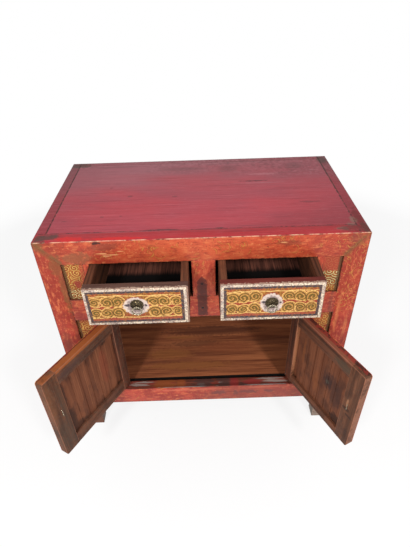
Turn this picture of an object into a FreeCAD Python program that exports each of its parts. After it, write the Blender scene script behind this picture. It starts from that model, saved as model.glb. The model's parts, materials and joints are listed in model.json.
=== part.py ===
import FreeCAD, Part

import math
import os
import re

import Sketcher
from FreeCAD import Vector

# Wedding cabinet: a low red lacquer chest with two drawers over two doors.
# X runs left to right, Y from the front face to the back, Z up from the floor.
# Sizes are in millimetres and angles in degrees.

# Driving sizes
SIZES = {
    # whole cabinet
    "cabinet_width": 920,
    "cabinet_depth": 530,
    "cabinet_height": 825,
    # corner posts, which run down to the floor as legs
    "post_width": 63,
    "post_depth": 45,
    "foot_chamfer": 3,
    # top frame
    "top_rail_height": 75,
    "front_rail_depth": 45,
    "back_rail_depth": 26,
    "side_rail_thickness": 30,
    "top_panel_thickness": 16,
    "top_tongue_thickness": 8,
    "top_tongue_length": 8,
    "top_batten_width": 28,
    "top_batten_height": 30,
    "top_batten_offset": 150,
    # front frame below the top rail
    "drawer_opening_height": 129,
    "mid_rail_height": 82,
    "bottom_rail_height": 73,
    "bottom_rail_lift": 125,
    "bottom_rail_depth": 45,
    "front_panel_width": 58,
    "front_panel_recess": 6,
    "front_panel_thickness": 10,
    "front_panel_tongue": 6,
    "jamb_width": 18,
    "jamb_depth": 30,
    "divider_half_width": 34,
    "divider_depth": 35,
    "frame_offset": 3,
    # joints of the carcass
    "tenon_thickness": 12,
    "tenon_length": 30,
    "tenon_shoulder": 18,
    "corner_tenon_drop": 32,
    "corner_tenon_height": 28,
    "corner_tenon_setback": 25,
    "side_tenon_length": 25,
    "side_tenon_drop": 46,
    "side_tenon_height": 20,
    "side_tenon_setback": 9,
    "side_tenon_margin": 9,
    "stub_length": 8,
    "stub_thickness": 10,
    "stub_shoulder": 3,
    # sides, back and floor
    "side_panel_thickness": 12,
    "side_panel_inset": 4,
    "back_panel_thickness": 10,
    "back_panel_inset": 8,
    "panel_tongue": 8,
    "panel_play": 0.5,
    "back_mid_rail_height": 54,
    "back_mid_rail_depth": 22,
    "floor_thickness": 16,
    "floor_drop": 6,
    "floor_gap": 7,
    "sill_rebate_width": 10,
    "sill_rebate_depth": 12,
    "floor_board_gap": 1,
    "floor_tongue": 6,
    "floor_batten_width": 32,
    "floor_batten_height": 22,
    "floor_batten_offset": 200,
    # drawer runners
    "runner_thickness": 24,
    "runner_ledge": 24,
    "runner_guide_width": 16,
    "runner_guide_height": 20,
    "runner_guide_play": 0.5,
    "runner_housing": 8,
    # drawers
    "drawer_inner_gap": 8,
    "drawer_outer_gap": 1,
    "drawer_top_gap": 2.5,
    "drawer_stop_gap": 0.5,
    "seat_gap": 0.3,
    "drawer_front_thickness": 23,
    "drawer_front_lap": 8,
    "drawer_side_thickness": 20,
    "drawer_back_thickness": 16,
    "drawer_bottom_thickness": 8,
    "drawer_bottom_lift": 8,
    "drawer_groove_depth": 8,
    "tail_start": 20,
    "tail_height": 28,
    "tail_flare": 5,
    "left_drawer_pull": 110,
    "right_drawer_pull": 109,
    # doors
    "door_thickness": 25,
    "door_top_gap": 2,
    "door_bottom_gap": 6,
    "left_door_trim": 0,
    "right_door_trim": 16,
    "door_jamb_gap": 4,
    "door_meeting_gap": 2,
    "door_hinge_edge": 20,
    "door_hinge_rounding": 3,
    "door_corner_rounding": 8,
    "hinge_stile_width": 32,
    "free_stile_width": 52,
    "door_top_rail_height": 50,
    "door_bottom_rail_height": 43,
    "door_tenon_length": 16,
    "door_tenon_thickness": 8,
    "door_tenon_shoulder": 8,
    "door_tenon_height": 12,
    "door_panel_front_recess": 4,
    "door_panel_back_recess": 8,
    "door_tongue_thickness": 7,
    "door_tongue_length": 7,
    "shrink_strip_width": 22,
    "plank_width": 34,
    "plank_groove_width": 3,
    "plank_groove_depth": 1.5,
    "pivot_radius": 7,
    "pivot_engagement": 12,
    "pivot_play": 0.4,
    "left_door_angle": 121,
    "right_door_angle": 116,
    # drop ring pulls
    "plate_radius": 18.5,
    "plate_thickness": 1.4,
    "dome_radius": 13.5,
    "dome_height": 6,
    "plate_hole_radius": 2.8,
    "dome_shoulder_share": 0.72,
    "dome_shoulder_height_share": 0.72,
    "dome_crown_share": 0.36,
    "notch_depth": 1.2,
    "pin_wire_radius": 1.1,
    "pin_leg_offset": 1.3,
    "pin_neck_radius": 1.5,
    "pin_bend_radius": 1.6,
    "pin_leg_length": 11,
    "pin_hole_radius": 2.7,
    "ring_radius": 12.8,
    "ring_wire_radius": 2.2,
    "ring_play": 0.7,
    "left_drawer_pull_rise": 6,
    "right_drawer_pull_rise": -3,
    "door_pull_inset": 32,
    "door_pull_drop": 158,
}

# Counts
FLOOR_BOARD_COUNT = 3
TAIL_COUNT = 2
NOTCH_COUNT = 12
WIRE_FACET_COUNT = 8
RING_CHORD_COUNT = 20
PLATE_SIDE_COUNT = 24
EYE_CHORD_COUNT = 5
SMALL_BEND_CHORD_COUNT = 2
PLANK_GROOVE_COUNT = 5

# An edge lies on a line when it is nearer to it than this share of the size compared
NEARNESS_SHARE = 0.1

LEFT = -1
RIGHT = 1
SIDE_NAMES = {LEFT: "left", RIGHT: "right"}

doc = FreeCAD.newDocument("WeddingCabinet")
sheet = doc.addObject("Spreadsheet::Sheet", "Sizes")
for row, (alias, size) in enumerate(SIZES.items(), start=1):
    sheet.set(f"A{row}", alias)
    sheet.set(f"B{row}", str(size))
    sheet.setAlias(f"B{row}", alias)
doc.recompute()

sub_parts = []


# Expressions

def expression(text):
    """Turn a formula in plain size names into one that reads the sheet."""
    def prefixed(match):
        word = match.group()
        return f"Sizes.{word}" if word in SIZES else word
    return re.sub(r"[a-z_]+[a-z0-9_]*", prefixed, str(text))


def bind(item, properties):
    for path, text in properties.items():
        item.setExpression(path, expression(text))


def size_of(name):
    """The number in the sheet, for the few shapes that Part's functions build."""
    return float(sheet.get(name))


# Levels and lines that several pieces share, as formulas in the sizes
HALF_WIDTH = "(cabinet_width / 2)"
POST_INNER = "(cabinet_width / 2 - post_width)"
SIDE_INNER = "(cabinet_width / 2 - side_rail_thickness)"
OPENING_HALF = f"({POST_INNER} - front_panel_width - jamb_width)"
RAIL_LOW = "(cabinet_height - top_rail_height)"
DRAWER_FLOOR = f"({RAIL_LOW} - drawer_opening_height)"
DOOR_TOP = f"({DRAWER_FLOOR} - mid_rail_height)"
SILL_TOP = "(bottom_rail_lift + bottom_rail_height)"
BACK_POST_FRONT = "(cabinet_depth - post_depth)"
FLOOR_TOP = f"({SILL_TOP} - floor_drop)"
FLOOR_LOW = f"({FLOOR_TOP} - floor_thickness)"


# The openings and the divider stand a little to the right of the middle. These
# three give distances from the middle on either side.

def opening_edge(side):
    return f"({OPENING_HALF} + {side} * frame_offset)"


def jamb_outer(side):
    return f"({opening_edge(side)} + jamb_width)"


def divider_edge(side):
    return f"(divider_half_width + {side} * frame_offset)"


# Drawer box
DRAWER_WIDTH = f"({OPENING_HALF} - divider_half_width - drawer_inner_gap - drawer_outer_gap)"
DRAWER_HEIGHT = "(drawer_opening_height - seat_gap - drawer_top_gap)"
DRAWER_LENGTH = f"({BACK_POST_FRONT} - drawer_stop_gap)"

# Door leaf, measured from its pivot line
DOOR_PIVOT_Y = "(door_thickness / 2)"
DOOR_LENGTH = f"({OPENING_HALF} - door_jamb_gap - door_hinge_edge - door_meeting_gap / 2)"
DOOR_ANGLES = {LEFT: "left_door_angle", RIGHT: "right_door_angle"}

# Drop ring pull, measured outwards from the face that carries it
EYE_RADIUS = "(ring_wire_radius + ring_play + pin_wire_radius)"
NECK_LEVEL = "(dome_height + seat_gap)"
NECK_SPAN = f"({EYE_RADIUS} + pin_neck_radius)"
NECK_SIDE = "(pin_leg_offset + pin_neck_radius)"
EYE_LEVEL = f"({NECK_LEVEL} + sqrt({NECK_SPAN} ^ 2 - {NECK_SIDE} ^ 2))"


def drawer_centre(side):
    return f"({divider_edge(side)} + drawer_inner_gap + {DRAWER_WIDTH} / 2)"


def door_pivot_x(side):
    return f"({opening_edge(side)} - door_jamb_gap - door_hinge_edge)"


def door_clearance(side):
    """The gap under a door: the right one has been trimmed at its lower edge."""
    return f"(door_bottom_gap + {SIDE_NAMES[side]}_door_trim)"


def door_low(side):
    return f"({SILL_TOP} + {door_clearance(side)})"


def door_height(side):
    return f"({DOOR_TOP} - door_top_gap - {door_low(side)})"


def pull_height(side):
    """Where the pull's hole goes through a drawer front, above its lower edge."""
    return f"({DRAWER_HEIGHT} / 2 + {SIDE_NAMES[side]}_drawer_pull_rise)"


def door_reach(side):
    """How far the open door's inner free corner stands in front of the front face."""
    turn = f"({DOOR_ANGLES[side]} * 1 deg)"
    return f"({DOOR_LENGTH} * sin({turn}) - {DOOR_PIVOT_Y} * (1 + cos({turn})))"


# The origin lies on the floor under the middle of the cabinet with its doors open.
FRONT_REACH = f"max({door_reach(LEFT)}; {door_reach(RIGHT)})"
ORIGIN_Y = f"((cabinet_depth - {FRONT_REACH}) / 2)"


# Building blocks

def block(name, low, lengths):
    """A board given by its low corner and its three lengths."""
    item = doc.addObject("Part::Box", name)
    bind(item, {
        "Length": lengths[0],
        "Width": lengths[1],
        "Height": lengths[2],
        "Placement.Base.x": low[0],
        "Placement.Base.y": low[1],
        "Placement.Base.z": low[2],
    })
    return item


def span(name, x_ends, y_ends, z_ends):
    """A board given by where it begins and ends along each axis."""
    low = [ends[0] for ends in (x_ends, y_ends, z_ends)]
    lengths = [f"({ends[1]}) - ({ends[0]})" for ends in (x_ends, y_ends, z_ends)]
    return block(name, low, lengths)


def panel_and_groove(name, ends, free_axes):
    """A panel, and the groove round it that leaves it room to swell and shrink."""
    roomy = []
    for axis, (low, high) in zip("xyz", ends):
        play = "panel_play" if axis in free_axes else "0"
        roomy.append((f"{low} - {play}", f"{high} + {play}"))
    return span(name, *ends), span(f"{name}_groove", *roomy)


def wedge(name, base, top, axis_ends, rotation=None):
    """A tapering block: its base and top rectangles lie across its own Y axis."""
    item = doc.addObject("Part::Wedge", name)
    bind(item, {
        "Xmin": base[0][0], "Xmax": base[0][1],
        "Zmin": base[1][0], "Zmax": base[1][1],
        "X2min": top[0][0], "X2max": top[0][1],
        "Z2min": top[1][0], "Z2max": top[1][1],
        "Ymin": axis_ends[0], "Ymax": axis_ends[1],
    })
    if rotation:
        item.Placement = FreeCAD.Placement(Vector(0, 0, 0), rotation)
    return item


def drum(name, radius, centre, z_low, height):
    item = doc.addObject("Part::Cylinder", name)
    bind(item, {
        "Radius": radius,
        "Height": height,
        "Placement.Base.x": centre[0],
        "Placement.Base.y": centre[1],
        "Placement.Base.z": z_low,
    })
    return item


def joined(name, items):
    item = doc.addObject("Part::MultiFuse", name)
    item.Shapes = items
    item.Refine = True
    return item


def cut(name, base, tools):
    item = doc.addObject("Part::Cut", name)
    item.Base = base
    item.Tool = tools[0] if len(tools) == 1 else joined(f"{name}_tools", tools)
    item.Refine = True
    return item


def mirrored_ends(side, inner, outer):
    """The low and high end of a stretch that lies on one side of the middle."""
    if side == LEFT:
        return (f"-({outer})", f"-({inner})")
    return (inner, outer)


def sub_part(item, label, place=None):
    """Name a finished piece and set it in the cabinet's frame."""
    x, y, z = place or ("0", "0", "0")
    own = dict(item.ExpressionEngine) if item.TypeId == "Part::Box" else {}
    for axis, shift in (("x", x), ("y", f"({y}) - {ORIGIN_Y}"), ("z", z)):
        path = f"Placement.Base.{axis}"
        start = own.get(path) or own.get(f".{path}") or "0"
        item.setExpression(path, f"({start}) + ({expression(shift)})")
    item.Label = label
    sub_parts.append(item)
    return item


# Corner joint of the top frame.
# Post, front or back rail and side rail meet in a three-way mitre: each ends in
# a pyramid whose point is the cabinet's top outer corner, so every face of the
# corner shows one mitre line. Stub tenons inside hold the three together.

UPRIGHT = FreeCAD.Rotation(Vector(1, 0, 0), 90)
REVERSED = FreeCAD.Rotation(Vector(0, 0, 1), 180)


def rail_band(end):
    """Where the front or back top rail lies along Y."""
    if end == "front":
        return ("0", "front_rail_depth")
    return ("cabinet_depth - back_rail_depth", "cabinet_depth")


def post_point(side, end):
    """The pyramid in which a post ends at the top corner."""
    x_ends = mirrored_ends(side, POST_INNER, HALF_WIDTH)
    outer_x = x_ends[0] if side == LEFT else x_ends[1]
    near, far = rail_band(end)
    outer_y = near if end == "front" else far
    # the wedge is turned upright, so its own Z runs against the cabinet's Y
    base = (x_ends, (f"-({far})", f"-({near})"))
    top = ((outer_x, outer_x), (f"-({outer_y})", f"-({outer_y})"))
    name = f"{end}_{SIDE_NAMES[side]}_post_point"
    return wedge(name, base, top, (RAIL_LOW, "cabinet_height"), UPRIGHT)


def side_rail_point(side, end):
    """The pyramid in which a side rail ends at the top corner."""
    z_ends = (RAIL_LOW, "cabinet_height")
    apex_z = ("cabinet_height", "cabinet_height")
    name = f"{end}_{SIDE_NAMES[side]}_side_rail_point"
    near, far = rail_band(end)
    if end == "back":
        x_ends = mirrored_ends(side, SIDE_INNER, HALF_WIDTH)
        outer_x = x_ends[0] if side == LEFT else x_ends[1]
        return wedge(name, (x_ends, z_ends), ((outer_x, outer_x), apex_z), (near, far))
    # at the front the point faces forwards, so the wedge is turned about Z
    x_ends = mirrored_ends(-side, SIDE_INNER, HALF_WIDTH)
    outer_x = x_ends[0] if side == RIGHT else x_ends[1]
    own_y = (f"-({far})", f"-({near})")
    return wedge(name, (x_ends, z_ends), ((outer_x, outer_x), apex_z), own_y, REVERSED)


def corner_tenon(side, end):
    """The stub by which the front or back top rail enters its post."""
    near, far = rail_band(end)
    middle = f"(({near}) + ({far})) / 2"
    outer = f"{HALF_WIDTH} - corner_tenon_setback"
    inner = f"{POST_INNER} - stub_length"
    return span(
        f"{end}_{SIDE_NAMES[side]}_corner_tenon",
        mirrored_ends(side, inner, outer),
        (f"{middle} - tenon_thickness / 2", f"{middle} + tenon_thickness / 2"),
        (
            "cabinet_height - corner_tenon_drop - corner_tenon_height",
            "cabinet_height - corner_tenon_drop",
        ),
    )


def side_corner_tenon(side, end):
    """The stub by which a side top rail enters its post."""
    outer = f"{HALF_WIDTH} - side_tenon_margin"
    inner = f"{HALF_WIDTH} - side_tenon_margin - tenon_thickness"
    near, far = rail_band(end)
    if end == "front":
        y_ends = ("side_tenon_setback", f"{far} + stub_length")
    else:
        y_ends = (f"{near} - stub_length", "cabinet_depth - side_tenon_setback")
    return span(
        f"{end}_{SIDE_NAMES[side]}_side_corner_tenon",
        mirrored_ends(side, inner, outer),
        y_ends,
        (
            "cabinet_height - side_tenon_drop - side_tenon_height",
            "cabinet_height - side_tenon_drop",
        ),
    )


# Tenons of the lower rails

def post_tenon(name, side, y_middle, z_ends):
    """A rail's tenon into a post, from just inside the shoulder outwards."""
    outer = f"{POST_INNER} + tenon_length"
    return span(
        f"{name}_{SIDE_NAMES[side]}_tenon",
        mirrored_ends(side, POST_INNER, outer),
        (f"({y_middle}) - tenon_thickness / 2", f"({y_middle}) + tenon_thickness / 2"),
        (f"({z_ends[0]}) + tenon_shoulder", f"({z_ends[1]}) - tenon_shoulder"),
    )


def depth_tenon(name, side, end, z_ends):
    """A side bottom rail's tenon into a front or back post."""
    outer = f"{HALF_WIDTH} - side_tenon_margin"
    inner = f"{HALF_WIDTH} - side_tenon_margin - tenon_thickness"
    if end == "front":
        y_ends = ("post_depth - side_tenon_length", "post_depth")
    else:
        y_ends = (BACK_POST_FRONT, f"{BACK_POST_FRONT} + side_tenon_length")
    return span(
        f"{name}_{SIDE_NAMES[side]}_{end}_tenon",
        mirrored_ends(side, inner, outer),
        y_ends,
        (f"({z_ends[0]}) + tenon_shoulder", f"({z_ends[1]}) - tenon_shoulder"),
    )


def build():
    # Shared joint solids: each is added to one piece and cut from its neighbour.
    corners = [(side, end) for side in (LEFT, RIGHT) for end in ("front", "back")]
    post_points = {corner: post_point(*corner) for corner in corners}
    side_points = {corner: side_rail_point(*corner) for corner in corners}
    corner_tenons = {corner: corner_tenon(*corner) for corner in corners}
    side_tenons = {corner: side_corner_tenon(*corner) for corner in corners}
    sill_levels = ("bottom_rail_lift", SILL_TOP)
    mid_levels = (DOOR_TOP, DRAWER_FLOOR)
    # this rail rises above the drawers' floor, so the drawers stop against it
    back_mid_high = f"({DRAWER_FLOOR} + runner_guide_height)"
    back_mid_levels = (f"{back_mid_high} - back_mid_rail_height", back_mid_high)
    front_middle = "bottom_rail_depth / 2"
    back_middle = "cabinet_depth - bottom_rail_depth / 2"
    back_mid_middle = f"{BACK_POST_FRONT} + back_mid_rail_depth / 2"
    tenons = {}
    for side in (LEFT, RIGHT):
        tenons["mid_rail", side] = post_tenon("mid_rail", side, front_middle, mid_levels)
        tenons["front_sill", side] = post_tenon("front_sill", side, front_middle, sill_levels)
        tenons["back_sill", side] = post_tenon("back_sill", side, back_middle, sill_levels)
        tenons["back_mid", side] = span(
            f"back_mid_{SIDE_NAMES[side]}_tenon",
            mirrored_ends(side, POST_INNER, f"{POST_INNER} + tenon_length"),
            (
                f"{back_mid_middle} - stub_thickness / 2",
                f"{back_mid_middle} + stub_thickness / 2",
            ),
            (
                f"{back_mid_levels[0]} + stub_shoulder",
                f"{back_mid_levels[1]} - stub_shoulder",
            ),
        )
        for end in ("front", "back"):
            tenons["side_sill", side, end] = depth_tenon("side_sill", side, end, sill_levels)

    # Panels, which double as the cutters of their own grooves
    front_panel_band = (
        "front_panel_recess",
        "front_panel_recess + front_panel_thickness",
    )
    panels = {}
    grooves = {}

    def fit_panel(key, ends, free_axes):
        name = "_".join([*key, "panel"])
        panels[name], grooves[key] = panel_and_groove(name, ends, free_axes)

    for side, hand in SIDE_NAMES.items():
        x_ends = mirrored_ends(
            side,
            f"{jamb_outer(side)} - front_panel_tongue",
            f"{POST_INNER} + front_panel_tongue",
        )
        for level, (low, high) in {
            "upper_front": (DRAWER_FLOOR, RAIL_LOW),
            "lower_front": (SILL_TOP, DOOR_TOP),
        }.items():
            z_ends = (f"{low} - front_panel_tongue", f"{high} + front_panel_tongue")
            fit_panel((hand, level), (x_ends, front_panel_band, z_ends), "xz")
        x_ends = mirrored_ends(
            side,
            f"{HALF_WIDTH} - side_panel_inset - side_panel_thickness",
            f"{HALF_WIDTH} - side_panel_inset",
        )
        y_ends = ("post_depth - panel_tongue", f"{BACK_POST_FRONT} + panel_tongue")
        z_ends = (f"{SILL_TOP} - panel_tongue", f"{RAIL_LOW} + panel_tongue")
        fit_panel((hand, "side"), (x_ends, y_ends, z_ends), "yz")
    x_ends = (f"-({POST_INNER} + panel_tongue)", f"{POST_INNER} + panel_tongue")
    y_ends = (
        "cabinet_depth - back_panel_inset - back_panel_thickness",
        "cabinet_depth - back_panel_inset",
    )
    z_ends = (f"{SILL_TOP} - panel_tongue", f"{RAIL_LOW} + panel_tongue")
    fit_panel(("back",), (x_ends, y_ends, z_ends), "xz")

    build_posts(post_points, corner_tenons, side_tenons, tenons, grooves)
    top_groove, battens = build_top()
    jamb_stubs, divider_stub = build_front_uprights(grooves)
    fixings = {"upper": jamb_stubs["upper"] + [divider_stub], "lower": jamb_stubs["lower"]}
    build_top_rails(post_points, side_points, corner_tenons, side_tenons,
                    [top_groove] + battens, fixings["upper"], grooves)
    runners = build_runners()
    sockets = build_sockets()
    floor_battens, floor_groove = build_floor()
    build_lower_rails(tenons, (mid_levels, sill_levels, back_mid_levels), runners, sockets,
                      fixings, grooves, floor_battens, floor_groove)
    for name, panel in panels.items():
        sub_part(panel, name)


def build_posts(post_points, corner_tenons, side_tenons, tenons, grooves):
    for (side, end), point in post_points.items():
        hand = SIDE_NAMES[side]
        name = f"{end}_{hand}_post"
        y_ends = ("0", "post_depth")
        if end == "back":
            y_ends = (BACK_POST_FRONT, "cabinet_depth")
        bar = span(
            f"{name}_bar",
            mirrored_ends(side, POST_INNER, HALF_WIDTH),
            y_ends,
            ("0", RAIL_LOW),
        )
        foot = doc.addObject("Part::Chamfer", f"{name}_foot")
        foot.Base = bar
        doc.recompute()
        chamfer = size_of("foot_chamfer")
        foot.Edges = [(index, chamfer, chamfer) for index in foot_edges(bar.Shape)]
        whole = joined(f"{name}_whole", [foot, point])
        tools = [corner_tenons[side, end], side_tenons[side, end], grooves[hand, "side"]]
        tools.append(tenons["side_sill", side, end])
        if end == "front":
            tools += [tenons["mid_rail", side], tenons["front_sill", side]]
            tools += [grooves[hand, "upper_front"], grooves[hand, "lower_front"]]
        else:
            tools += [tenons["back_mid", side], tenons["back_sill", side], grooves["back",]]
        sub_part(cut(name, whole, tools), name)


def foot_edges(shape):
    """The numbers of the four edges round a bar's lower end."""
    low = shape.BoundBox.ZMin
    level = [
        number
        for number, edge in enumerate(shape.Edges, start=1)
        if abs(edge.BoundBox.ZMax - low) < edge.Length / 1000
    ]
    return level


def build_top():
    """Top panel in its grooves, and the two battens under it."""
    panel_low = "(cabinet_height - top_panel_thickness)"
    field = span(
        "top_panel_field",
        (f"-{SIDE_INNER}", SIDE_INNER),
        ("front_rail_depth", "cabinet_depth - back_rail_depth"),
        (panel_low, "cabinet_height"),
    )
    tongue, groove = panel_and_groove(
        "top_panel_tongue",
        (
            (f"-({SIDE_INNER} + top_tongue_length)", f"{SIDE_INNER} + top_tongue_length"),
            (
                "front_rail_depth - top_tongue_length",
                "cabinet_depth - back_rail_depth + top_tongue_length",
            ),
            (panel_low, f"{panel_low} + top_tongue_thickness"),
        ),
        "xy",
    )
    sub_part(joined("top_panel", [field, tongue]), "top_panel")
    battens = []
    for side in (LEFT, RIGHT):
        middle = f"({side} * top_batten_offset)"
        batten = span(
            f"{SIDE_NAMES[side]}_top_batten",
            (f"{middle} - top_batten_width / 2", f"{middle} + top_batten_width / 2"),
            (
                "front_rail_depth - stub_length",
                "cabinet_depth - back_rail_depth + stub_length",
            ),
            (f"{panel_low} - top_batten_height", panel_low),
        )
        battens.append(batten)
    sub_part(joined("top_battens", battens), "top_battens")
    return groove, battens


def build_front_uprights(grooves):
    """Centre divider and the four narrow jambs beside the openings."""
    stubs = {}
    for level, z_ends in (("upper", (DRAWER_FLOOR, RAIL_LOW)), ("lower", (SILL_TOP, DOOR_TOP))):
        bodies = []
        cutters = []
        for side in (LEFT, RIGHT):
            name = f"{SIDE_NAMES[side]}_{level}_jamb"
            bar = span(
                f"{name}_bar",
                mirrored_ends(side, opening_edge(side), jamb_outer(side)),
                ("0", "jamb_depth"),
                z_ends,
            )
            stub = span(
                f"{name}_stub",
                mirrored_ends(
                    side,
                    f"{opening_edge(side)} + stub_shoulder",
                    f"{jamb_outer(side)} - stub_shoulder",
                ),
                ("jamb_depth - stub_thickness", "jamb_depth"),
                (f"{z_ends[0]} - stub_length", f"{z_ends[1]} + stub_length"),
            )
            groove = grooves[SIDE_NAMES[side], f"{level}_front"]
            bodies.append(cut(f"{name}_grooved", bar, [groove]))
            bodies.append(stub)
            cutters.append(stub)
        sub_part(joined(f"{level}_jambs", bodies), f"{level}_jambs")
        stubs[level] = cutters
    bar = span(
        "divider_bar",
        (f"-{divider_edge(LEFT)}", divider_edge(RIGHT)),
        ("0", "divider_depth"),
        (DRAWER_FLOOR, RAIL_LOW),
    )
    stub = span(
        "divider_stub",
        (
            f"-({divider_edge(LEFT)} - tenon_thickness)",
            f"{divider_edge(RIGHT)} - tenon_thickness",
        ),
        (
            "(divider_depth - stub_thickness) / 2",
            "(divider_depth + stub_thickness) / 2",
        ),
        (f"{DRAWER_FLOOR} - stub_length", f"{RAIL_LOW} + stub_length"),
    )
    sub_part(joined("centre_divider", [bar, stub]), "centre_divider")
    return stubs, stub


def build_top_rails(post_points, side_points, corner_tenons, side_tenons, top_tools,
                    front_stubs, grooves):
    for end in ("front", "back"):
        bar = span(
            f"{end}_top_rail_bar",
            (f"-{HALF_WIDTH}", HALF_WIDTH),
            rail_band(end),
            (RAIL_LOW, "cabinet_height"),
        )
        tools = list(top_tools)
        for side, hand in SIDE_NAMES.items():
            tools += [post_points[side, end], side_points[side, end], side_tenons[side, end]]
            if end == "front":
                tools.append(grooves[hand, "upper_front"])
        tools += front_stubs if end == "front" else [grooves["back",]]
        rail = cut(f"{end}_top_rail_cut", bar, tools)
        stubs = [corner_tenons[side, end] for side in (LEFT, RIGHT)]
        sub_part(joined(f"{end}_top_rail", [rail] + stubs), f"{end}_top_rail")
    for side, hand in SIDE_NAMES.items():
        name = f"{hand}_top_rail"
        bar = span(
            f"{name}_bar",
            mirrored_ends(side, SIDE_INNER, HALF_WIDTH),
            ("front_rail_depth", "cabinet_depth - back_rail_depth"),
            (RAIL_LOW, "cabinet_height"),
        )
        ends = [side_points[side, end] for end in ("front", "back")]
        rail = cut(f"{name}_cut", joined(f"{name}_ends", [bar] + ends),
                   [top_tools[0], grooves[hand, "side"]])
        stubs = [side_tenons[side, end] for end in ("front", "back")]
        sub_part(joined(name, [rail] + stubs), name)


def build_runners():
    """Runners under the drawers' edges, and the guides that keep them straight."""
    y_inside = ("bottom_rail_depth", BACK_POST_FRONT)
    y_housed = (
        "bottom_rail_depth - runner_housing",
        f"{BACK_POST_FRONT} + runner_housing",
    )
    runner_levels = (f"{DRAWER_FLOOR} - runner_thickness", DRAWER_FLOOR)
    guide_levels = (DRAWER_FLOOR, f"{DRAWER_FLOOR} + runner_guide_height")
    widths = {
        "centre": (
            (
                f"-({divider_edge(LEFT)} + drawer_inner_gap + runner_ledge)",
                f"{divider_edge(RIGHT)} + drawer_inner_gap + runner_ledge",
            ),
            (
                f"-({divider_edge(LEFT)} + drawer_inner_gap - runner_guide_play)",
                f"{divider_edge(RIGHT)} + drawer_inner_gap - runner_guide_play",
            ),
        ),
    }
    for side, hand in SIDE_NAMES.items():
        guide_inner = f"({opening_edge(side)} + runner_guide_play)"
        guide_outer = f"({guide_inner} + runner_guide_width)"
        ledge_inner = f"({opening_edge(side)} - runner_ledge)"
        widths[hand] = (
            mirrored_ends(side, ledge_inner, guide_outer),
            mirrored_ends(side, guide_inner, guide_outer),
        )
    runners = []
    guides = []
    for name, (runner_ends, guide_ends) in widths.items():
        runners.append(span(f"{name}_runner", runner_ends, y_housed, runner_levels))
        guides.append(span(f"{name}_guide", guide_ends, y_inside, guide_levels))
    sub_part(joined("drawer_runners", runners), "drawer_runners")
    sub_part(joined("drawer_guides", guides), "drawer_guides")
    return runners


def build_sockets():
    """Blind sockets in the mid rail and the sill for the doors' pivot pins."""
    sockets = {"low": [], "high": []}
    for side, hand in SIDE_NAMES.items():
        centre = (f"{side} * {door_pivot_x(side)}", DOOR_PIVOT_Y)
        radius = "pivot_radius + pivot_play"
        low_depth = "(pivot_engagement + seat_gap)"
        # the upper socket is deep enough to lift the door out of the lower one
        high_depth = "(2 * pivot_engagement + seat_gap)"
        sockets["low"].append(
            drum(f"{hand}_low_socket", radius, centre, f"{SILL_TOP} - {low_depth}", low_depth)
        )
        sockets["high"].append(drum(f"{hand}_high_socket", radius, centre, DOOR_TOP, high_depth))
    return sockets


def build_floor():
    """Floor boards, their grooves in the side rails and the battens under them."""
    y_start = "(bottom_rail_depth + floor_gap)"
    y_room = f"({BACK_POST_FRONT} - {y_start})"
    pitch = f"(({y_room} + floor_board_gap) / {FLOOR_BOARD_COUNT})"
    half = f"({SIDE_INNER} + floor_tongue)"
    boards = []
    for number in range(FLOOR_BOARD_COUNT):
        low = f"{y_start} + {number} * {pitch}"
        board = span(
            f"floor_board_{number + 1}",
            (f"-{half}", half),
            (low, f"{low} + {pitch} - floor_board_gap"),
            (FLOOR_LOW, FLOOR_TOP),
        )
        boards.append(board)
    sub_part(joined("floor_boards", boards), "floor_boards")
    groove = span("floor_groove", (f"-{half}", half), (y_start, BACK_POST_FRONT),
                  (FLOOR_LOW, FLOOR_TOP))
    battens = []
    for side in (LEFT, RIGHT):
        middle = f"({side} * floor_batten_offset)"
        batten = span(
            f"{SIDE_NAMES[side]}_floor_batten",
            (f"{middle} - floor_batten_width / 2", f"{middle} + floor_batten_width / 2"),
            (
                "bottom_rail_depth - stub_length",
                f"{BACK_POST_FRONT} + stub_length",
            ),
            (f"{FLOOR_LOW} - floor_batten_height", FLOOR_LOW),
        )
        battens.append(batten)
    sub_part(joined("floor_battens", battens), "floor_battens")
    return battens, groove


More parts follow.
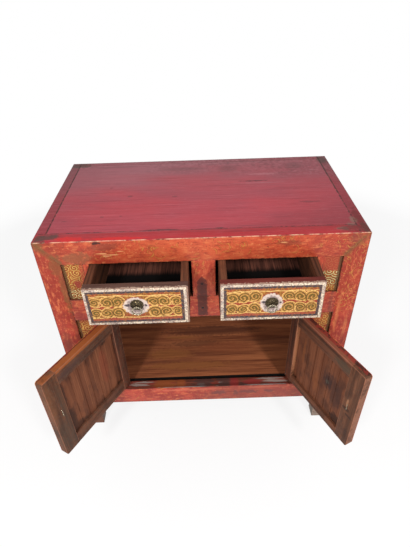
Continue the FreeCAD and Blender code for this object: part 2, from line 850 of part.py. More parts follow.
def build_lower_rails(tenons, levels, runners, sockets, fixings, grooves,
                      floor_battens, floor_groove):
    mid_levels, sill_levels, back_mid_levels = levels
    upper_grooves = [grooves[hand, "upper_front"] for hand in SIDE_NAMES.values()]
    lower_grooves = [grooves[hand, "lower_front"] for hand in SIDE_NAMES.values()]
    front_band = ("0", "bottom_rail_depth")
    back_band = ("cabinet_depth - bottom_rail_depth", "cabinet_depth")
    rear_band = (BACK_POST_FRONT, f"{BACK_POST_FRONT} + back_mid_rail_depth")
    mid_tools = runners + sockets["high"] + fixings["upper"] + fixings["lower"]
    mid_tools += upper_grooves + lower_grooves
    # a rebate along the back of the sill leaves a dark gap in front of the floor boards
    rebate = span(
        "sill_rebate",
        (f"-{POST_INNER}", POST_INNER),
        ("bottom_rail_depth - sill_rebate_width", "bottom_rail_depth"),
        (f"{SILL_TOP} - sill_rebate_depth", SILL_TOP),
    )
    sill_tools = sockets["low"] + fixings["lower"] + floor_battens + lower_grooves
    sill_tools.append(rebate)
    rails = {
        "mid_rail": (front_band, mid_levels, mid_tools, "mid_rail"),
        "front_bottom_rail": (front_band, sill_levels, sill_tools, "front_sill"),
        "back_bottom_rail": (
            back_band, sill_levels, floor_battens + [grooves["back",]], "back_sill"
        ),
        "back_mid_rail": (rear_band, back_mid_levels, runners, "back_mid"),
    }
    for name, (y_ends, z_ends, tools, joint) in rails.items():
        bar = span(f"{name}_bar", (f"-{POST_INNER}", POST_INNER), y_ends, z_ends)
        grooved = cut(f"{name}_cut", bar, tools)
        stubs = [tenons[joint, side] for side in (LEFT, RIGHT)]
        sub_part(joined(name, [grooved] + stubs), name)
    for side, hand in SIDE_NAMES.items():
        name = f"{hand}_bottom_rail"
        bar = span(
            f"{name}_bar",
            mirrored_ends(side, SIDE_INNER, HALF_WIDTH),
            ("post_depth", BACK_POST_FRONT),
            sill_levels,
        )
        grooved = cut(f"{name}_cut", bar, [floor_groove, grooves[hand, "side"]])
        stubs = [tenons["side_sill", side, end] for end in ("front", "back")]
        sub_part(joined(name, [grooved] + stubs), name)


# Drawers, each in its own frame: X from the middle, Y back from the front face

def build_drawer(side):
    name = f"{SIDE_NAMES[side]}_drawer"
    half = f"({DRAWER_WIDTH} / 2)"
    place = (
        f"{side} * {drawer_centre(side)}",
        f"-{SIDE_NAMES[side]}_drawer_pull",
        f"{DRAWER_FLOOR} + seat_gap",
    )
    bottom, groove = panel_and_groove(
        f"{name}_bottom",
        (
            (
                f"-({half} - drawer_side_thickness + drawer_groove_depth)",
                f"{half} - drawer_side_thickness + drawer_groove_depth",
            ),
            (
                "drawer_front_thickness - drawer_groove_depth",
                f"{DRAWER_LENGTH} - drawer_back_thickness + drawer_groove_depth",
            ),
            ("drawer_bottom_lift", "drawer_bottom_lift + drawer_bottom_thickness"),
        ),
        "xy",
    )
    tails = {}
    for end in ("front", "back"):
        tails[end] = [
            dovetail(f"{name}_{end}_{SIDE_NAMES[hand]}_tail_{number + 1}", hand, end, number, half)
            for hand in (LEFT, RIGHT)
            for number in range(TAIL_COUNT)
        ]
    front_bar = span(
        f"{name}_front_bar",
        (f"-{half}", half),
        ("0", "drawer_front_thickness"),
        ("0", DRAWER_HEIGHT),
    )
    hole = pull_hole(f"{name}_pull_hole", "0", pull_height(side), "drawer_front_thickness")
    front = cut(f"{name}_front", front_bar, tails["front"] + [groove, hole])
    back_bar = span(
        f"{name}_back_bar",
        (f"-{half}", half),
        (f"{DRAWER_LENGTH} - drawer_back_thickness", DRAWER_LENGTH),
        ("0", DRAWER_HEIGHT),
    )
    back = cut(f"{name}_back", back_bar, tails["back"] + [groove])
    sides = []
    for hand in (LEFT, RIGHT):
        bar = span(
            f"{name}_{SIDE_NAMES[hand]}_side_bar",
            mirrored_ends(hand, f"{half} - drawer_side_thickness", half),
            ("drawer_front_thickness", f"{DRAWER_LENGTH} - drawer_back_thickness"),
            ("0", DRAWER_HEIGHT),
        )
        own = [
            tail
            for end in ("front", "back")
            for tail in tails[end]
            if f"_{SIDE_NAMES[hand]}_tail" in tail.Name
        ]
        grooved = cut(f"{name}_{SIDE_NAMES[hand]}_side_cut", bar, [groove])
        sides.append(joined(f"{name}_{SIDE_NAMES[hand]}_side", [grooved] + own))
    pair = joined(f"{name}_sides", sides)
    sub_part(front, f"{name}_front", place)
    sub_part(back, f"{name}_back", place)
    sub_part(pair, f"{name}_sides", place)
    sub_part(bottom, f"{name}_bottom", place)


def dovetail(name, hand, end, number, half):
    """One tail on a side board: wide at its tip, so the joint can't pull apart."""
    pitch = f"(({DRAWER_HEIGHT} - tail_start) / {TAIL_COUNT})"
    low = f"(tail_start + {number} * {pitch} + tail_flare)"
    narrow = (low, f"{low} + tail_height")
    wide = (f"{low} - tail_flare", f"{low} + tail_height + tail_flare")
    x_ends = mirrored_ends(hand, f"{half} - drawer_side_thickness", half)
    if end == "front":
        y_ends = ("drawer_front_lap", "drawer_front_thickness")
        return wedge(name, (x_ends, wide), (x_ends, narrow), y_ends)
    y_ends = (f"{DRAWER_LENGTH} - drawer_back_thickness", DRAWER_LENGTH)
    return wedge(name, (x_ends, narrow), (x_ends, wide), y_ends)


def pull_hole(name, x, z, depth):
    """A hole for a split pin, from the front face backwards."""
    item = doc.addObject("Part::Cylinder", name)
    item.Placement = FreeCAD.Placement(Vector(0, 0, 0), FreeCAD.Rotation(Vector(1, 0, 0), -90))
    bind(item, {
        "Radius": "pin_hole_radius",
        "Height": depth,
        "Placement.Base.x": x,
        "Placement.Base.z": z,
    })
    return item


# Doors, each in its own frame: the pivot line is X 0, Y 0 and the leaf lies
# along X with its outer face towards minus Y, as it does when it is shut.

def build_door(side):
    name = f"{SIDE_NAMES[side]}_door"
    # the leaf runs from the pivot towards the middle of the cabinet
    inward = -side
    face = (f"-{DOOR_PIVOT_Y}", DOOR_PIVOT_Y)
    stile_end = "(hinge_stile_width - door_hinge_edge)"
    free_start = f"({DOOR_LENGTH} - free_stile_width)"
    height = door_height(side)
    bottom_rail = f"(door_bottom_rail_height - {SIDE_NAMES[side]}_door_trim)"

    def along(start, stop):
        return mirrored_ends(inward, start, stop)

    panel_band = (
        f"-{DOOR_PIVOT_Y} + door_panel_front_recess",
        f"{DOOR_PIVOT_Y} - door_panel_back_recess",
    )
    rail_levels = {
        "bottom": ("0", bottom_rail),
        "top": (f"{height} - door_top_rail_height", height),
    }
    tenon_levels = {
        "bottom": (
            f"{bottom_rail} - door_tenon_shoulder - door_tenon_height",
            f"{bottom_rail} - door_tenon_shoulder",
        ),
        "top": (
            f"{height} - door_top_rail_height + door_tenon_shoulder",
            f"{height} - 2 * door_tenon_shoulder",
        ),
    }
    panel_levels = (rail_levels["bottom"][1], rail_levels["top"][0])
    tongue = span(
        f"{name}_panel_tongue",
        along(f"{stile_end} - door_tongue_length", f"{free_start} + door_tongue_length"),
        (panel_band[0], f"{panel_band[0]} + door_tongue_thickness"),
        (
            f"{panel_levels[0]} - door_tongue_length",
            f"{panel_levels[1]} + door_tongue_length",
        ),
    )
    panel = door_panel(name, along, stile_end, free_start, panel_band, panel_levels, tongue)

    tenons = []
    rail_bars = []
    for level, z_ends in rail_levels.items():
        rail_bars.append(span(f"{name}_{level}_rail_bar", along(stile_end, free_start), face, z_ends))
        tenons.append(span(
            f"{name}_{level}_rail_tenon",
            along(f"{stile_end} - door_tenon_length", f"{free_start} + door_tenon_length"),
            ("-door_tenon_thickness / 2", "door_tenon_thickness / 2"),
            tenon_levels[level],
        ))
    grooved = [
        cut(f"{name}_{level}_rail_cut", bar, [tongue])
        for level, bar in zip(rail_levels, rail_bars)
    ]
    rails = joined(f"{name}_rails", grooved + tenons)

    hinge_stile = hinge_stile_body(name, side)
    hinge_cut = cut(f"{name}_hinge_stile", hinge_stile, [tongue] + tenons)
    free_stile = free_stile_body(name, side)
    pull_x = f"{inward} * ({DOOR_LENGTH} - door_pull_inset)"
    pull_z = f"{height} - door_pull_drop"
    hole = pull_hole(f"{name}_pull_hole", pull_x, pull_z, "door_thickness")
    bind(hole, {"Placement.Base.y": f"-{DOOR_PIVOT_Y}"})
    free_cut = cut(f"{name}_free_stile", free_stile, [tongue, hole] + tenons)

    for item, label in (
        (hinge_cut, f"{name}_hinge_stile"),
        (free_cut, f"{name}_free_stile"),
        (rails, f"{name}_rails"),
        (panel, f"{name}_panel"),
    ):
        hang_on_door(item, label, side)


def door_panel(name, along, stile_end, free_start, panel_band, panel_levels, tongue):
    """A planked panel whose field has shrunk away from the hinge stile."""
    field = span(
        f"{name}_panel_field",
        along(f"{stile_end} + shrink_strip_width", free_start),
        panel_band,
        panel_levels,
    )
    grooves = []
    depth_start = f"{panel_band[1]} - plank_groove_depth"
    for number in range(1, PLANK_GROOVE_COUNT + 1):
        middle = f"({stile_end} + shrink_strip_width + {number} * plank_width)"
        groove = span(
            f"{name}_plank_groove_{number}",
            along(f"{middle} - plank_groove_width / 2", f"{middle} + plank_groove_width / 2"),
            (depth_start, panel_band[1]),
            panel_levels,
        )
        grooves.append(groove)
    planked = cut(f"{name}_panel_planks", field, grooves)
    return joined(f"{name}_panel", [planked, tongue])


def turn_text(side):
    """The door's turn about Z, from shut to where it stands open."""
    return f"{side} * {DOOR_ANGLES[side]}"


def hang_on_door(item, label, side):
    """Set a piece that is modelled in the door's frame on the open door."""
    item.Placement = FreeCAD.Placement(Vector(0, 0, 0), FreeCAD.Rotation(Vector(0, 0, 1), side))
    bind(item, {
        "Placement.Rotation.Angle": turn_text(side),
        "Placement.Base.x": f"{side} * {door_pivot_x(side)}",
        "Placement.Base.y": f"{DOOR_PIVOT_Y} - {ORIGIN_Y}",
        "Placement.Base.z": door_low(side),
    })
    item.Label = label
    sub_parts.append(item)


def origin_plane(body, role):
    return [plane for plane in body.Origin.OriginFeatures if plane.Role == role][0]


def outline_sketch(body, name, role, points, offset="0"):
    """A closed outline of straight lines whose corners are bound to the sizes."""
    sketch = body.newObject("Sketcher::SketchObject", name)
    sketch.AttachmentSupport = [(origin_plane(body, role), "")]
    sketch.MapMode = "FlatFace"
    bind(sketch, {"AttachmentOffset.Base.z": offset})
    doc.recompute()
    # a first guess near the true shape keeps the solver on the right solution
    guess = [Vector(*(measure(value) for value in point), 0) for point in points]
    count = len(points)
    for number in range(count):
        line = Part.LineSegment(guess[number], guess[(number + 1) % count])
        sketch.addGeometry(line, False)
    for number in range(count):
        following = (number + 1) % count
        sketch.addConstraint(Sketcher.Constraint("Coincident", number, 2, following, 1))
    for number, point in enumerate(points):
        for kind, value in (("DistanceX", point[0]), ("DistanceY", point[1])):
            index = sketch.addConstraint(
                Sketcher.Constraint(kind, -1, 1, number, 1, measure(value))
            )
            sketch.setExpression(f"Constraints[{index}]", expression(value))
    return sketch


def measure(text):
    """The present value of a formula in the sizes."""
    value = sheet.evalExpression(expression(text))
    return float(getattr(value, "Value", value))


def circle_sketch(body, name, role, radius, centre, offset="0"):
    sketch = body.newObject("Sketcher::SketchObject", name)
    sketch.AttachmentSupport = [(origin_plane(body, role), "")]
    sketch.MapMode = "FlatFace"
    bind(sketch, {"AttachmentOffset.Base.z": offset})
    doc.recompute()
    middle = Vector(measure(centre[0]), measure(centre[1]), 0)
    sketch.addGeometry(Part.Circle(middle, Vector(0, 0, 1), measure(radius)), False)
    index = sketch.addConstraint(Sketcher.Constraint("Radius", 0, measure(radius)))
    sketch.setExpression(f"Constraints[{index}]", expression(radius))
    for kind, value in (("DistanceX", centre[0]), ("DistanceY", centre[1])):
        index = sketch.addConstraint(Sketcher.Constraint(kind, -1, 1, 0, 3, measure(value)))
        sketch.setExpression(f"Constraints[{index}]", expression(value))
    return sketch


def pad(body, name, sketch, length, reversed_way=False):
    feature = body.newObject("PartDesign::Pad", name)
    feature.Profile = sketch
    feature.Reversed = reversed_way
    bind(feature, {"Length": length})
    body.Tip = feature
    doc.recompute()
    return feature


def rounded(body, name, base, edges, radius):
    feature = body.newObject("PartDesign::Fillet", name)
    feature.Base = (base, edges)
    bind(feature, {"Radius": radius})
    body.Tip = feature
    doc.recompute()
    return feature


def edges_where(shape, test):
    return [f"Edge{number}" for number, edge in enumerate(shape.Edges, start=1) if test(edge)]


def hinge_stile_body(name, side):
    """The stile that the door turns on, with a pivot pin on each end."""
    inward = -side
    height = door_height(side)
    body = doc.addObject("PartDesign::Body", f"{name}_hinge_stile_body")
    stile_end = "(hinge_stile_width - door_hinge_edge)"
    near = f"{-inward} * door_hinge_edge"
    far = f"{inward} * {stile_end}"
    points = [
        (near, f"-{DOOR_PIVOT_Y}"),
        (far, f"-{DOOR_PIVOT_Y}"),
        (far, DOOR_PIVOT_Y),
        (near, DOOR_PIVOT_Y),
    ]
    section = outline_sketch(body, f"{name}_hinge_section", "XY_Plane", points)
    bar = pad(body, f"{name}_hinge_bar", section, height)
    hinge_x = -inward * size_of("door_hinge_edge")
    outer_y = -size_of("door_thickness") / 2

    def is_outer_hinge_edge(edge):
        box = edge.BoundBox
        upright = box.ZLength > box.XLength + box.YLength
        middle = box.Center
        near_x = abs(middle.x - hinge_x) < abs(hinge_x) * NEARNESS_SHARE
        near_y = abs(middle.y - outer_y) < abs(outer_y) * NEARNESS_SHARE
        return upright and near_x and near_y

    edges = edges_where(bar.Shape, is_outer_hinge_edge)
    rounded(body, f"{name}_hinge_rounding", bar, edges, "door_hinge_rounding")
    centre = ("0", "0")
    high = circle_sketch(body, f"{name}_high_pivot", "XY_Plane", "pivot_radius", centre, height)
    pad(body, f"{name}_high_pin", high, "door_top_gap + pivot_engagement")
    low = circle_sketch(body, f"{name}_low_pivot", "XY_Plane", "pivot_radius", centre)
    low_length = f"{door_clearance(side)} + pivot_engagement"
    pad(body, f"{name}_low_pin", low, low_length, reversed_way=True)
    return body


def free_stile_body(name, side):
    """The stile at the door's free edge, with its two outer corners worn round."""
    inward = -side
    height = door_height(side)
    body = doc.addObject("PartDesign::Body", f"{name}_free_stile_body")
    near = f"{inward} * ({DOOR_LENGTH} - free_stile_width)"
    far = f"{inward} * {DOOR_LENGTH}"
    # seen on the XZ plane, whose normal points towards minus Y
    points = [(near, "0"), (far, "0"), (far, height), (near, height)]
    outline = outline_sketch(body, f"{name}_free_outline", "XZ_Plane", points,
                             f"-{DOOR_PIVOT_Y}")
    bar = pad(body, f"{name}_free_bar", outline, "door_thickness")
    far_x = measure(far)

    def is_free_corner(edge):
        box = edge.BoundBox
        across = box.YLength > box.XLength + box.ZLength
        return across and abs(box.Center.x - far_x) < box.YLength * NEARNESS_SHARE

    edges = edges_where(bar.Shape, is_free_corner)
    rounded(body, f"{name}_free_rounding", bar, edges, "door_corner_rounding")
    return body


# Pulls, each modelled round its hole: Z points out of the face that carries it
# and Y points up. Wires are swept along straight runs with mitred corners, which
# keeps such small pieces to a few flat facets.

def arc_points(centre, radius, start_angle, stop_angle, chord_count):
    """Points along an arc in a plane, both ends included, angles in degrees."""
    turn = (stop_angle - start_angle) / chord_count
    angles = [math.radians(start_angle + turn * number) for number in range(chord_count + 1)]
    return [
        (centre[0] + radius * math.cos(angle), centre[1] + radius * math.sin(angle))
        for angle in angles
    ]


def swept(path, section):
    """Sweep a closed section along a path of straight runs."""
    mitred = 1
    outline = Part.makePolygon(section + section[:1])
    return Part.makePolygon(path).makePipeShell([outline], True, False, mitred)


def round_path(radius, chord_count):
    """A closed path round the Z axis, which starts half way along a side."""
    corners = arc_points((0, 0), radius, 0, 360, chord_count)
    corners = [Vector(x, y, 0) for x, y in corners]
    start = (corners[0] + corners[1]) * 0.5
    return [start] + corners[1:] + [start]


def bent_wire(points, radius, bend_axis):
    """A wire that bends about one axis only."""
    run = (points[1] - points[0]).normalize()
    across = run.cross(bend_axis)
    section = []
    for number in range(WIRE_FACET_COUNT):
        angle = 2 * math.pi * number / WIRE_FACET_COUNT
        spoke = bend_axis * math.cos(angle) + across * math.sin(angle)
        section.append(points[0] + spoke * radius)
    return swept(points, section)


def ring_shape():
    """The drop ring, lying round the origin in its own XY plane."""
    path = round_path(size_of("ring_radius"), RING_CHORD_COUNT)
    return bent_wire(path, size_of("ring_wire_radius"), Vector(0, 0, 1))


def plate_shape():
    """A domed plate with a notched rim."""
    hole = size_of("plate_hole_radius")
    rim = size_of("plate_radius")
    sheet_metal = size_of("plate_thickness")
    foot = size_of("dome_radius")
    crown = size_of("dome_height")
    shoulder = foot * size_of("dome_shoulder_share")
    shoulder_height = crown * size_of("dome_shoulder_height_share")
    profile = [
        (hole, 0),
        (rim, 0),
        (rim, sheet_metal),
        (foot, sheet_metal),
        (shoulder, shoulder_height),
        (foot * size_of("dome_crown_share"), crown),
        (hole, crown),
    ]
    path = round_path(foot, PLATE_SIDE_COUNT)
    radial = Vector(path[0]).normalize()
    section = [radial * radius + Vector(0, 0, height) for radius, height in profile]
    plate = swept(path, section)
    return plate.cut(rim_notches(rim, sheet_metal))


def rim_notches(rim, sheet_metal):
    """Wedge-shaped cutters spaced evenly round the rim of a plate."""
    depth = size_of("notch_depth")
    corners = [
        Vector(rim - depth, 0, 0),
        Vector(rim + depth, -2 * depth, 0),
        Vector(rim + depth, 2 * depth, 0),
    ]
    face = Part.Face(Part.makePolygon(corners + corners[:1]))
    notch = face.extrude(Vector(0, 0, sheet_metal))
    notches = []
    for number in range(NOTCH_COUNT):
        turned = notch.copy()
        turned.rotate(Vector(0, 0, 0), Vector(0, 0, 1), 360 * number / NOTCH_COUNT)
        notches.append(turned)
    return notches


def split_pin_shape(board_thickness):
    """A wire doubled into an eye, with its two legs splayed behind the board."""
    wire = size_of("pin_wire_radius")
    leg = size_of("pin_leg_offset")
    neck = size_of("pin_neck_radius")
    bend = size_of("pin_bend_radius")
    neck_level = measure(NECK_LEVEL)
    eye_level = measure(EYE_LEVEL)
    back = -(board_thickness + size_of("seat_gap") + wire)
    tip = leg + bend + size_of("pin_leg_length")
    lean = math.degrees(math.atan2(eye_level - neck_level, -(leg + neck)))
    # one half, from the tip behind the board to the crown of the eye
    half = [(tip, back)]
    half += arc_points((leg + bend, back + bend), bend, -90, -180, SMALL_BEND_CHORD_COUNT)
    half += arc_points((leg + neck, neck_level), neck, 180, lean, SMALL_BEND_CHORD_COUNT)
    half += arc_points((0, eye_level), measure(EYE_RADIUS), lean - 180, 90, EYE_CHORD_COUNT)[1:]
    other_half = [(-side, out) for side, out in reversed(half[:-1])]
    points = [Vector(0, side, out) for side, out in half + other_half]
    return bent_wire(points, wire, Vector(1, 0, 0))


def build_pull(name, place, turn, board="drawer_front_thickness"):
    """Plate, split pin and ring, set on a drawer front or on an open door."""
    plate = doc.addObject("Part::Feature", f"{name}_plate")
    plate.Shape = plate_shape()
    pin = doc.addObject("Part::Feature", f"{name}_split_pin")
    pin.Shape = split_pin_shape(size_of(board))
    ring = doc.addObject("Part::Feature", f"{name}_ring")
    ring.Shape = ring_shape()
    # Z of the pull's own frame points out of the face, and its Y points up
    facing = FreeCAD.Rotation(Vector(1, 0, 0), 90)
    pose = FreeCAD.Placement(place, turn.multiply(facing))
    hang = FreeCAD.Placement(Vector(0, -size_of("ring_radius"), measure(EYE_LEVEL)),
                             FreeCAD.Rotation())
    plate.Placement = pose
    pin.Placement = pose
    ring.Placement = pose.multiply(hang)
    for item, label in ((plate, "plate"), (pin, "split_pin"), (ring, "ring")):
        item.Label = f"{name}_{label}"
        sub_parts.append(item)


def build_pulls():
    upright = FreeCAD.Rotation()
    for side in (LEFT, RIGHT):
        place = Vector(
            measure(f"{side} * {drawer_centre(side)}"),
            measure(f"-{SIDE_NAMES[side]}_drawer_pull - {ORIGIN_Y}"),
            measure(f"{DRAWER_FLOOR} + seat_gap + {pull_height(side)}"),
        )
        build_pull(f"{SIDE_NAMES[side]}_drawer", place, upright)
    for side in (LEFT, RIGHT):
        turn = FreeCAD.Rotation(Vector(0, 0, 1), measure(turn_text(side)))
        pivot = Vector(
            measure(f"{side} * {door_pivot_x(side)}"),
            measure(f"{DOOR_PIVOT_Y} - {ORIGIN_Y}"),
            measure(door_low(side)),
        )
        on_leaf = Vector(
            measure(f"{-side} * ({DOOR_LENGTH} - door_pull_inset)"),
            measure(f"-{DOOR_PIVOT_Y}"),
            measure(f"{door_height(side)} - door_pull_drop"),
        )
        place = pivot + turn.multVec(on_leaf)
        build_pull(f"{SIDE_NAMES[side]}_door", place, turn, "door_thickness")


build()
for hand in (LEFT, RIGHT):
    build_drawer(hand)
    build_door(hand)
build_pulls()
doc.recompute()


# Check and write

def check_document():
    for item in doc.Objects:
        for state in item.State:
            if state in ("Invalid", "Error"):
                raise RuntimeError(f"{item.Name} failed: {item.State}")
    for item in sub_parts:
        if item.Shape.isNull() or not item.Shape.isValid():
            raise RuntimeError(f"{item.Label} has no valid shape")


def write_parts():
    os.makedirs("parts", exist_ok=True)
    for item in sub_parts:
        item.Shape.exportStep(f"parts/{item.Label}.step")
        print(item.Label, len(item.Shape.Solids), round(item.Shape.Volume))
    print(len(sub_parts), "sub-parts written")


check_document()
write_parts()
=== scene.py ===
"""Looks of a low red lacquer wedding cabinet with two drawers over two doors."""

import json
import math
import random

import bpy
from mathutils import Matrix, Vector

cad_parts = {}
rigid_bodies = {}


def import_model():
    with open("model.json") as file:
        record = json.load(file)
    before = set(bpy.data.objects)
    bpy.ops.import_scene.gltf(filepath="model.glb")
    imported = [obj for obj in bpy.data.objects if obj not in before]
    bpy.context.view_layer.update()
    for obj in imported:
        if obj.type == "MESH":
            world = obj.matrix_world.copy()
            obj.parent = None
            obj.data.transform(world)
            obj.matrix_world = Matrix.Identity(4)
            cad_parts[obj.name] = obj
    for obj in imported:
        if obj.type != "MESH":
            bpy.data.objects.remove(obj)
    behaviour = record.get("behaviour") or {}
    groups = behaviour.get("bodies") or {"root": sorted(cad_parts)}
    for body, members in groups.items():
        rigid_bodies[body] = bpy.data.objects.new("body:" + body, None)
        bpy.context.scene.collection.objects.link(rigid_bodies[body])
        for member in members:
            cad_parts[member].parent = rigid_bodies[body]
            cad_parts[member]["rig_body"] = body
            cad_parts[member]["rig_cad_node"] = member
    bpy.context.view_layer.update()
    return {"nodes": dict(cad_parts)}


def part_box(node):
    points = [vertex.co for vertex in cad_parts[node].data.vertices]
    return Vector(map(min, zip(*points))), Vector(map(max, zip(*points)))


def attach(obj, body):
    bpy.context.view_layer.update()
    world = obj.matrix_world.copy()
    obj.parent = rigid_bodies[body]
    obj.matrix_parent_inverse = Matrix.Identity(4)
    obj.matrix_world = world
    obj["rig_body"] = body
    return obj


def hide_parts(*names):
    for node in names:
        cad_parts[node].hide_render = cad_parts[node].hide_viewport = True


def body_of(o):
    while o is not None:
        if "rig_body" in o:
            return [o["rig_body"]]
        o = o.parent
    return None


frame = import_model()

# The camera, from the photograph's perspective
CAMERA_PLACE = (0.00452, -1.1185, 1.4506)
CAMERA_TURNS = (("Z", -0.131), ("X", 52.792), ("Z", -1.801))
CAMERA_LENS = 28.426
CAMERA_SENSOR = 36.0

# The cabinet's own levels and lines, in metres
post_low, post_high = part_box("front_left_post")
sill_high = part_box("front_bottom_rail")[1]
boards_low, boards_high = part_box("floor_boards")
HALF_WIDTH = -post_low.x
POST_INNER = 0.397
FRONT_Y = post_low.y
TOP_Z = post_high.z
RAIL_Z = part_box("front_top_rail")[0].z
SILL_Z = sill_high.z
SILL_BACK = sill_high.y
FLOOR_Z = boards_high.z
FLOOR_FRONT = boards_low.y
# The joint lines between the top's frame and its panel: out from the middle, and to the front
JOINT_OUT = 0.4305
JOINT_FRONT = 0.0905
# How deep below a painted face its paint begins, and how deep it is whole
PAINT_FROM = 0.0022
PAINT_FULL = 0.0008
DOOR_PIVOT_Y = -0.12299
# From the middle of a leaf out to its outside, and in to the level of its marks
DOOR_FACE = 0.0125
LEAF_INSIDE = 0.008
DOORS = {
    "left": {"pivot": -0.294, "turn": -121.0, "side": 1},
    "right": {"pivot": 0.3, "turn": 116.0, "side": -1},
}
DOOR_PULL_ALONG = 0.264
DRAWERS = {
    "left": {"centre": -0.178, "front": -0.2455, "bottom": 0.6213},
    "right": {"centre": 0.184, "front": -0.2445, "bottom": 0.6213},
}
DRAWER_WIDTH = 0.278
DRAWER_HEIGHT = 0.1262


def paint(red, green, blue):
    """A colour as the shaders take it, from values of 0 to 255."""
    shares = [value / 255 for value in (red, green, blue)]
    linear = [s / 12.92 if s <= 0.04045 else ((s + 0.055) / 1.055) ** 2.4 for s in shares]
    return (*linear, 1.0)


# Sums and nodes

class Amount:
    """A number that varies over a surface, with the sums that the finishes use."""

    def __init__(self, finish, socket):
        self.finish = finish
        self.socket = socket

    def __add__(self, other):
        return self.finish.sum("ADD", self, other)

    __radd__ = __add__

    def __sub__(self, other):
        return self.finish.sum("SUBTRACT", self, other)

    def __rsub__(self, other):
        return self.finish.sum("SUBTRACT", other, self)

    def __mul__(self, other):
        return self.finish.sum("MULTIPLY", self, other)

    __rmul__ = __mul__

    def __truediv__(self, other):
        return self.finish.sum("DIVIDE", self, other)

    def __abs__(self):
        return self.finish.sum("ABSOLUTE", self)


def node_in(tree, kind, settings=None, sockets=None):
    """A node of that kind, with its settings and the values or links of its sockets."""
    made = tree.nodes.new(kind)
    for key, value in (settings or {}).items():
        setattr(made, key, value)
    for key, value in (sockets or {}).items():
        if isinstance(value, Amount):
            value = value.socket
        if isinstance(value, bpy.types.NodeSocket):
            tree.links.new(value, made.inputs[key])
        else:
            made.inputs[key].default_value = value
    return made


def least(first, *others):
    for other in others:
        first = first.finish.sum("MINIMUM", first, other)
    return first


def most(first, *others):
    for other in others:
        first = first.finish.sum("MAXIMUM", first, other)
    return first


def ease(value, start, end, share=1.0):
    """0 before start and the share after end, with a soft change between them."""
    made = value.finish.node(
        "ShaderNodeMapRange", {"interpolation_type": "SMOOTHSTEP"},
        {"Value": value, "From Min": start, "From Max": end, "To Max": share},
    )
    return Amount(value.finish, made.outputs[0])


def as_colour(colour):
    """A link stays as it is, and red, green and blue are converted."""
    return paint(*colour) if isinstance(colour, tuple) else colour


def mix(share, first, second):
    """The first colour with a share of the second on it."""
    made = share.finish.node("ShaderNodeMix", {"data_type": "RGBA"},
                             {0: share, 6: as_colour(first), 7: as_colour(second)})
    return made.outputs[2]


def tinted(colour, tint, value, start, end, share=1.0):
    """The colour, with the tint on it where the value has passed from start to end."""
    return mix(ease(value, start, end, share), colour, tint)


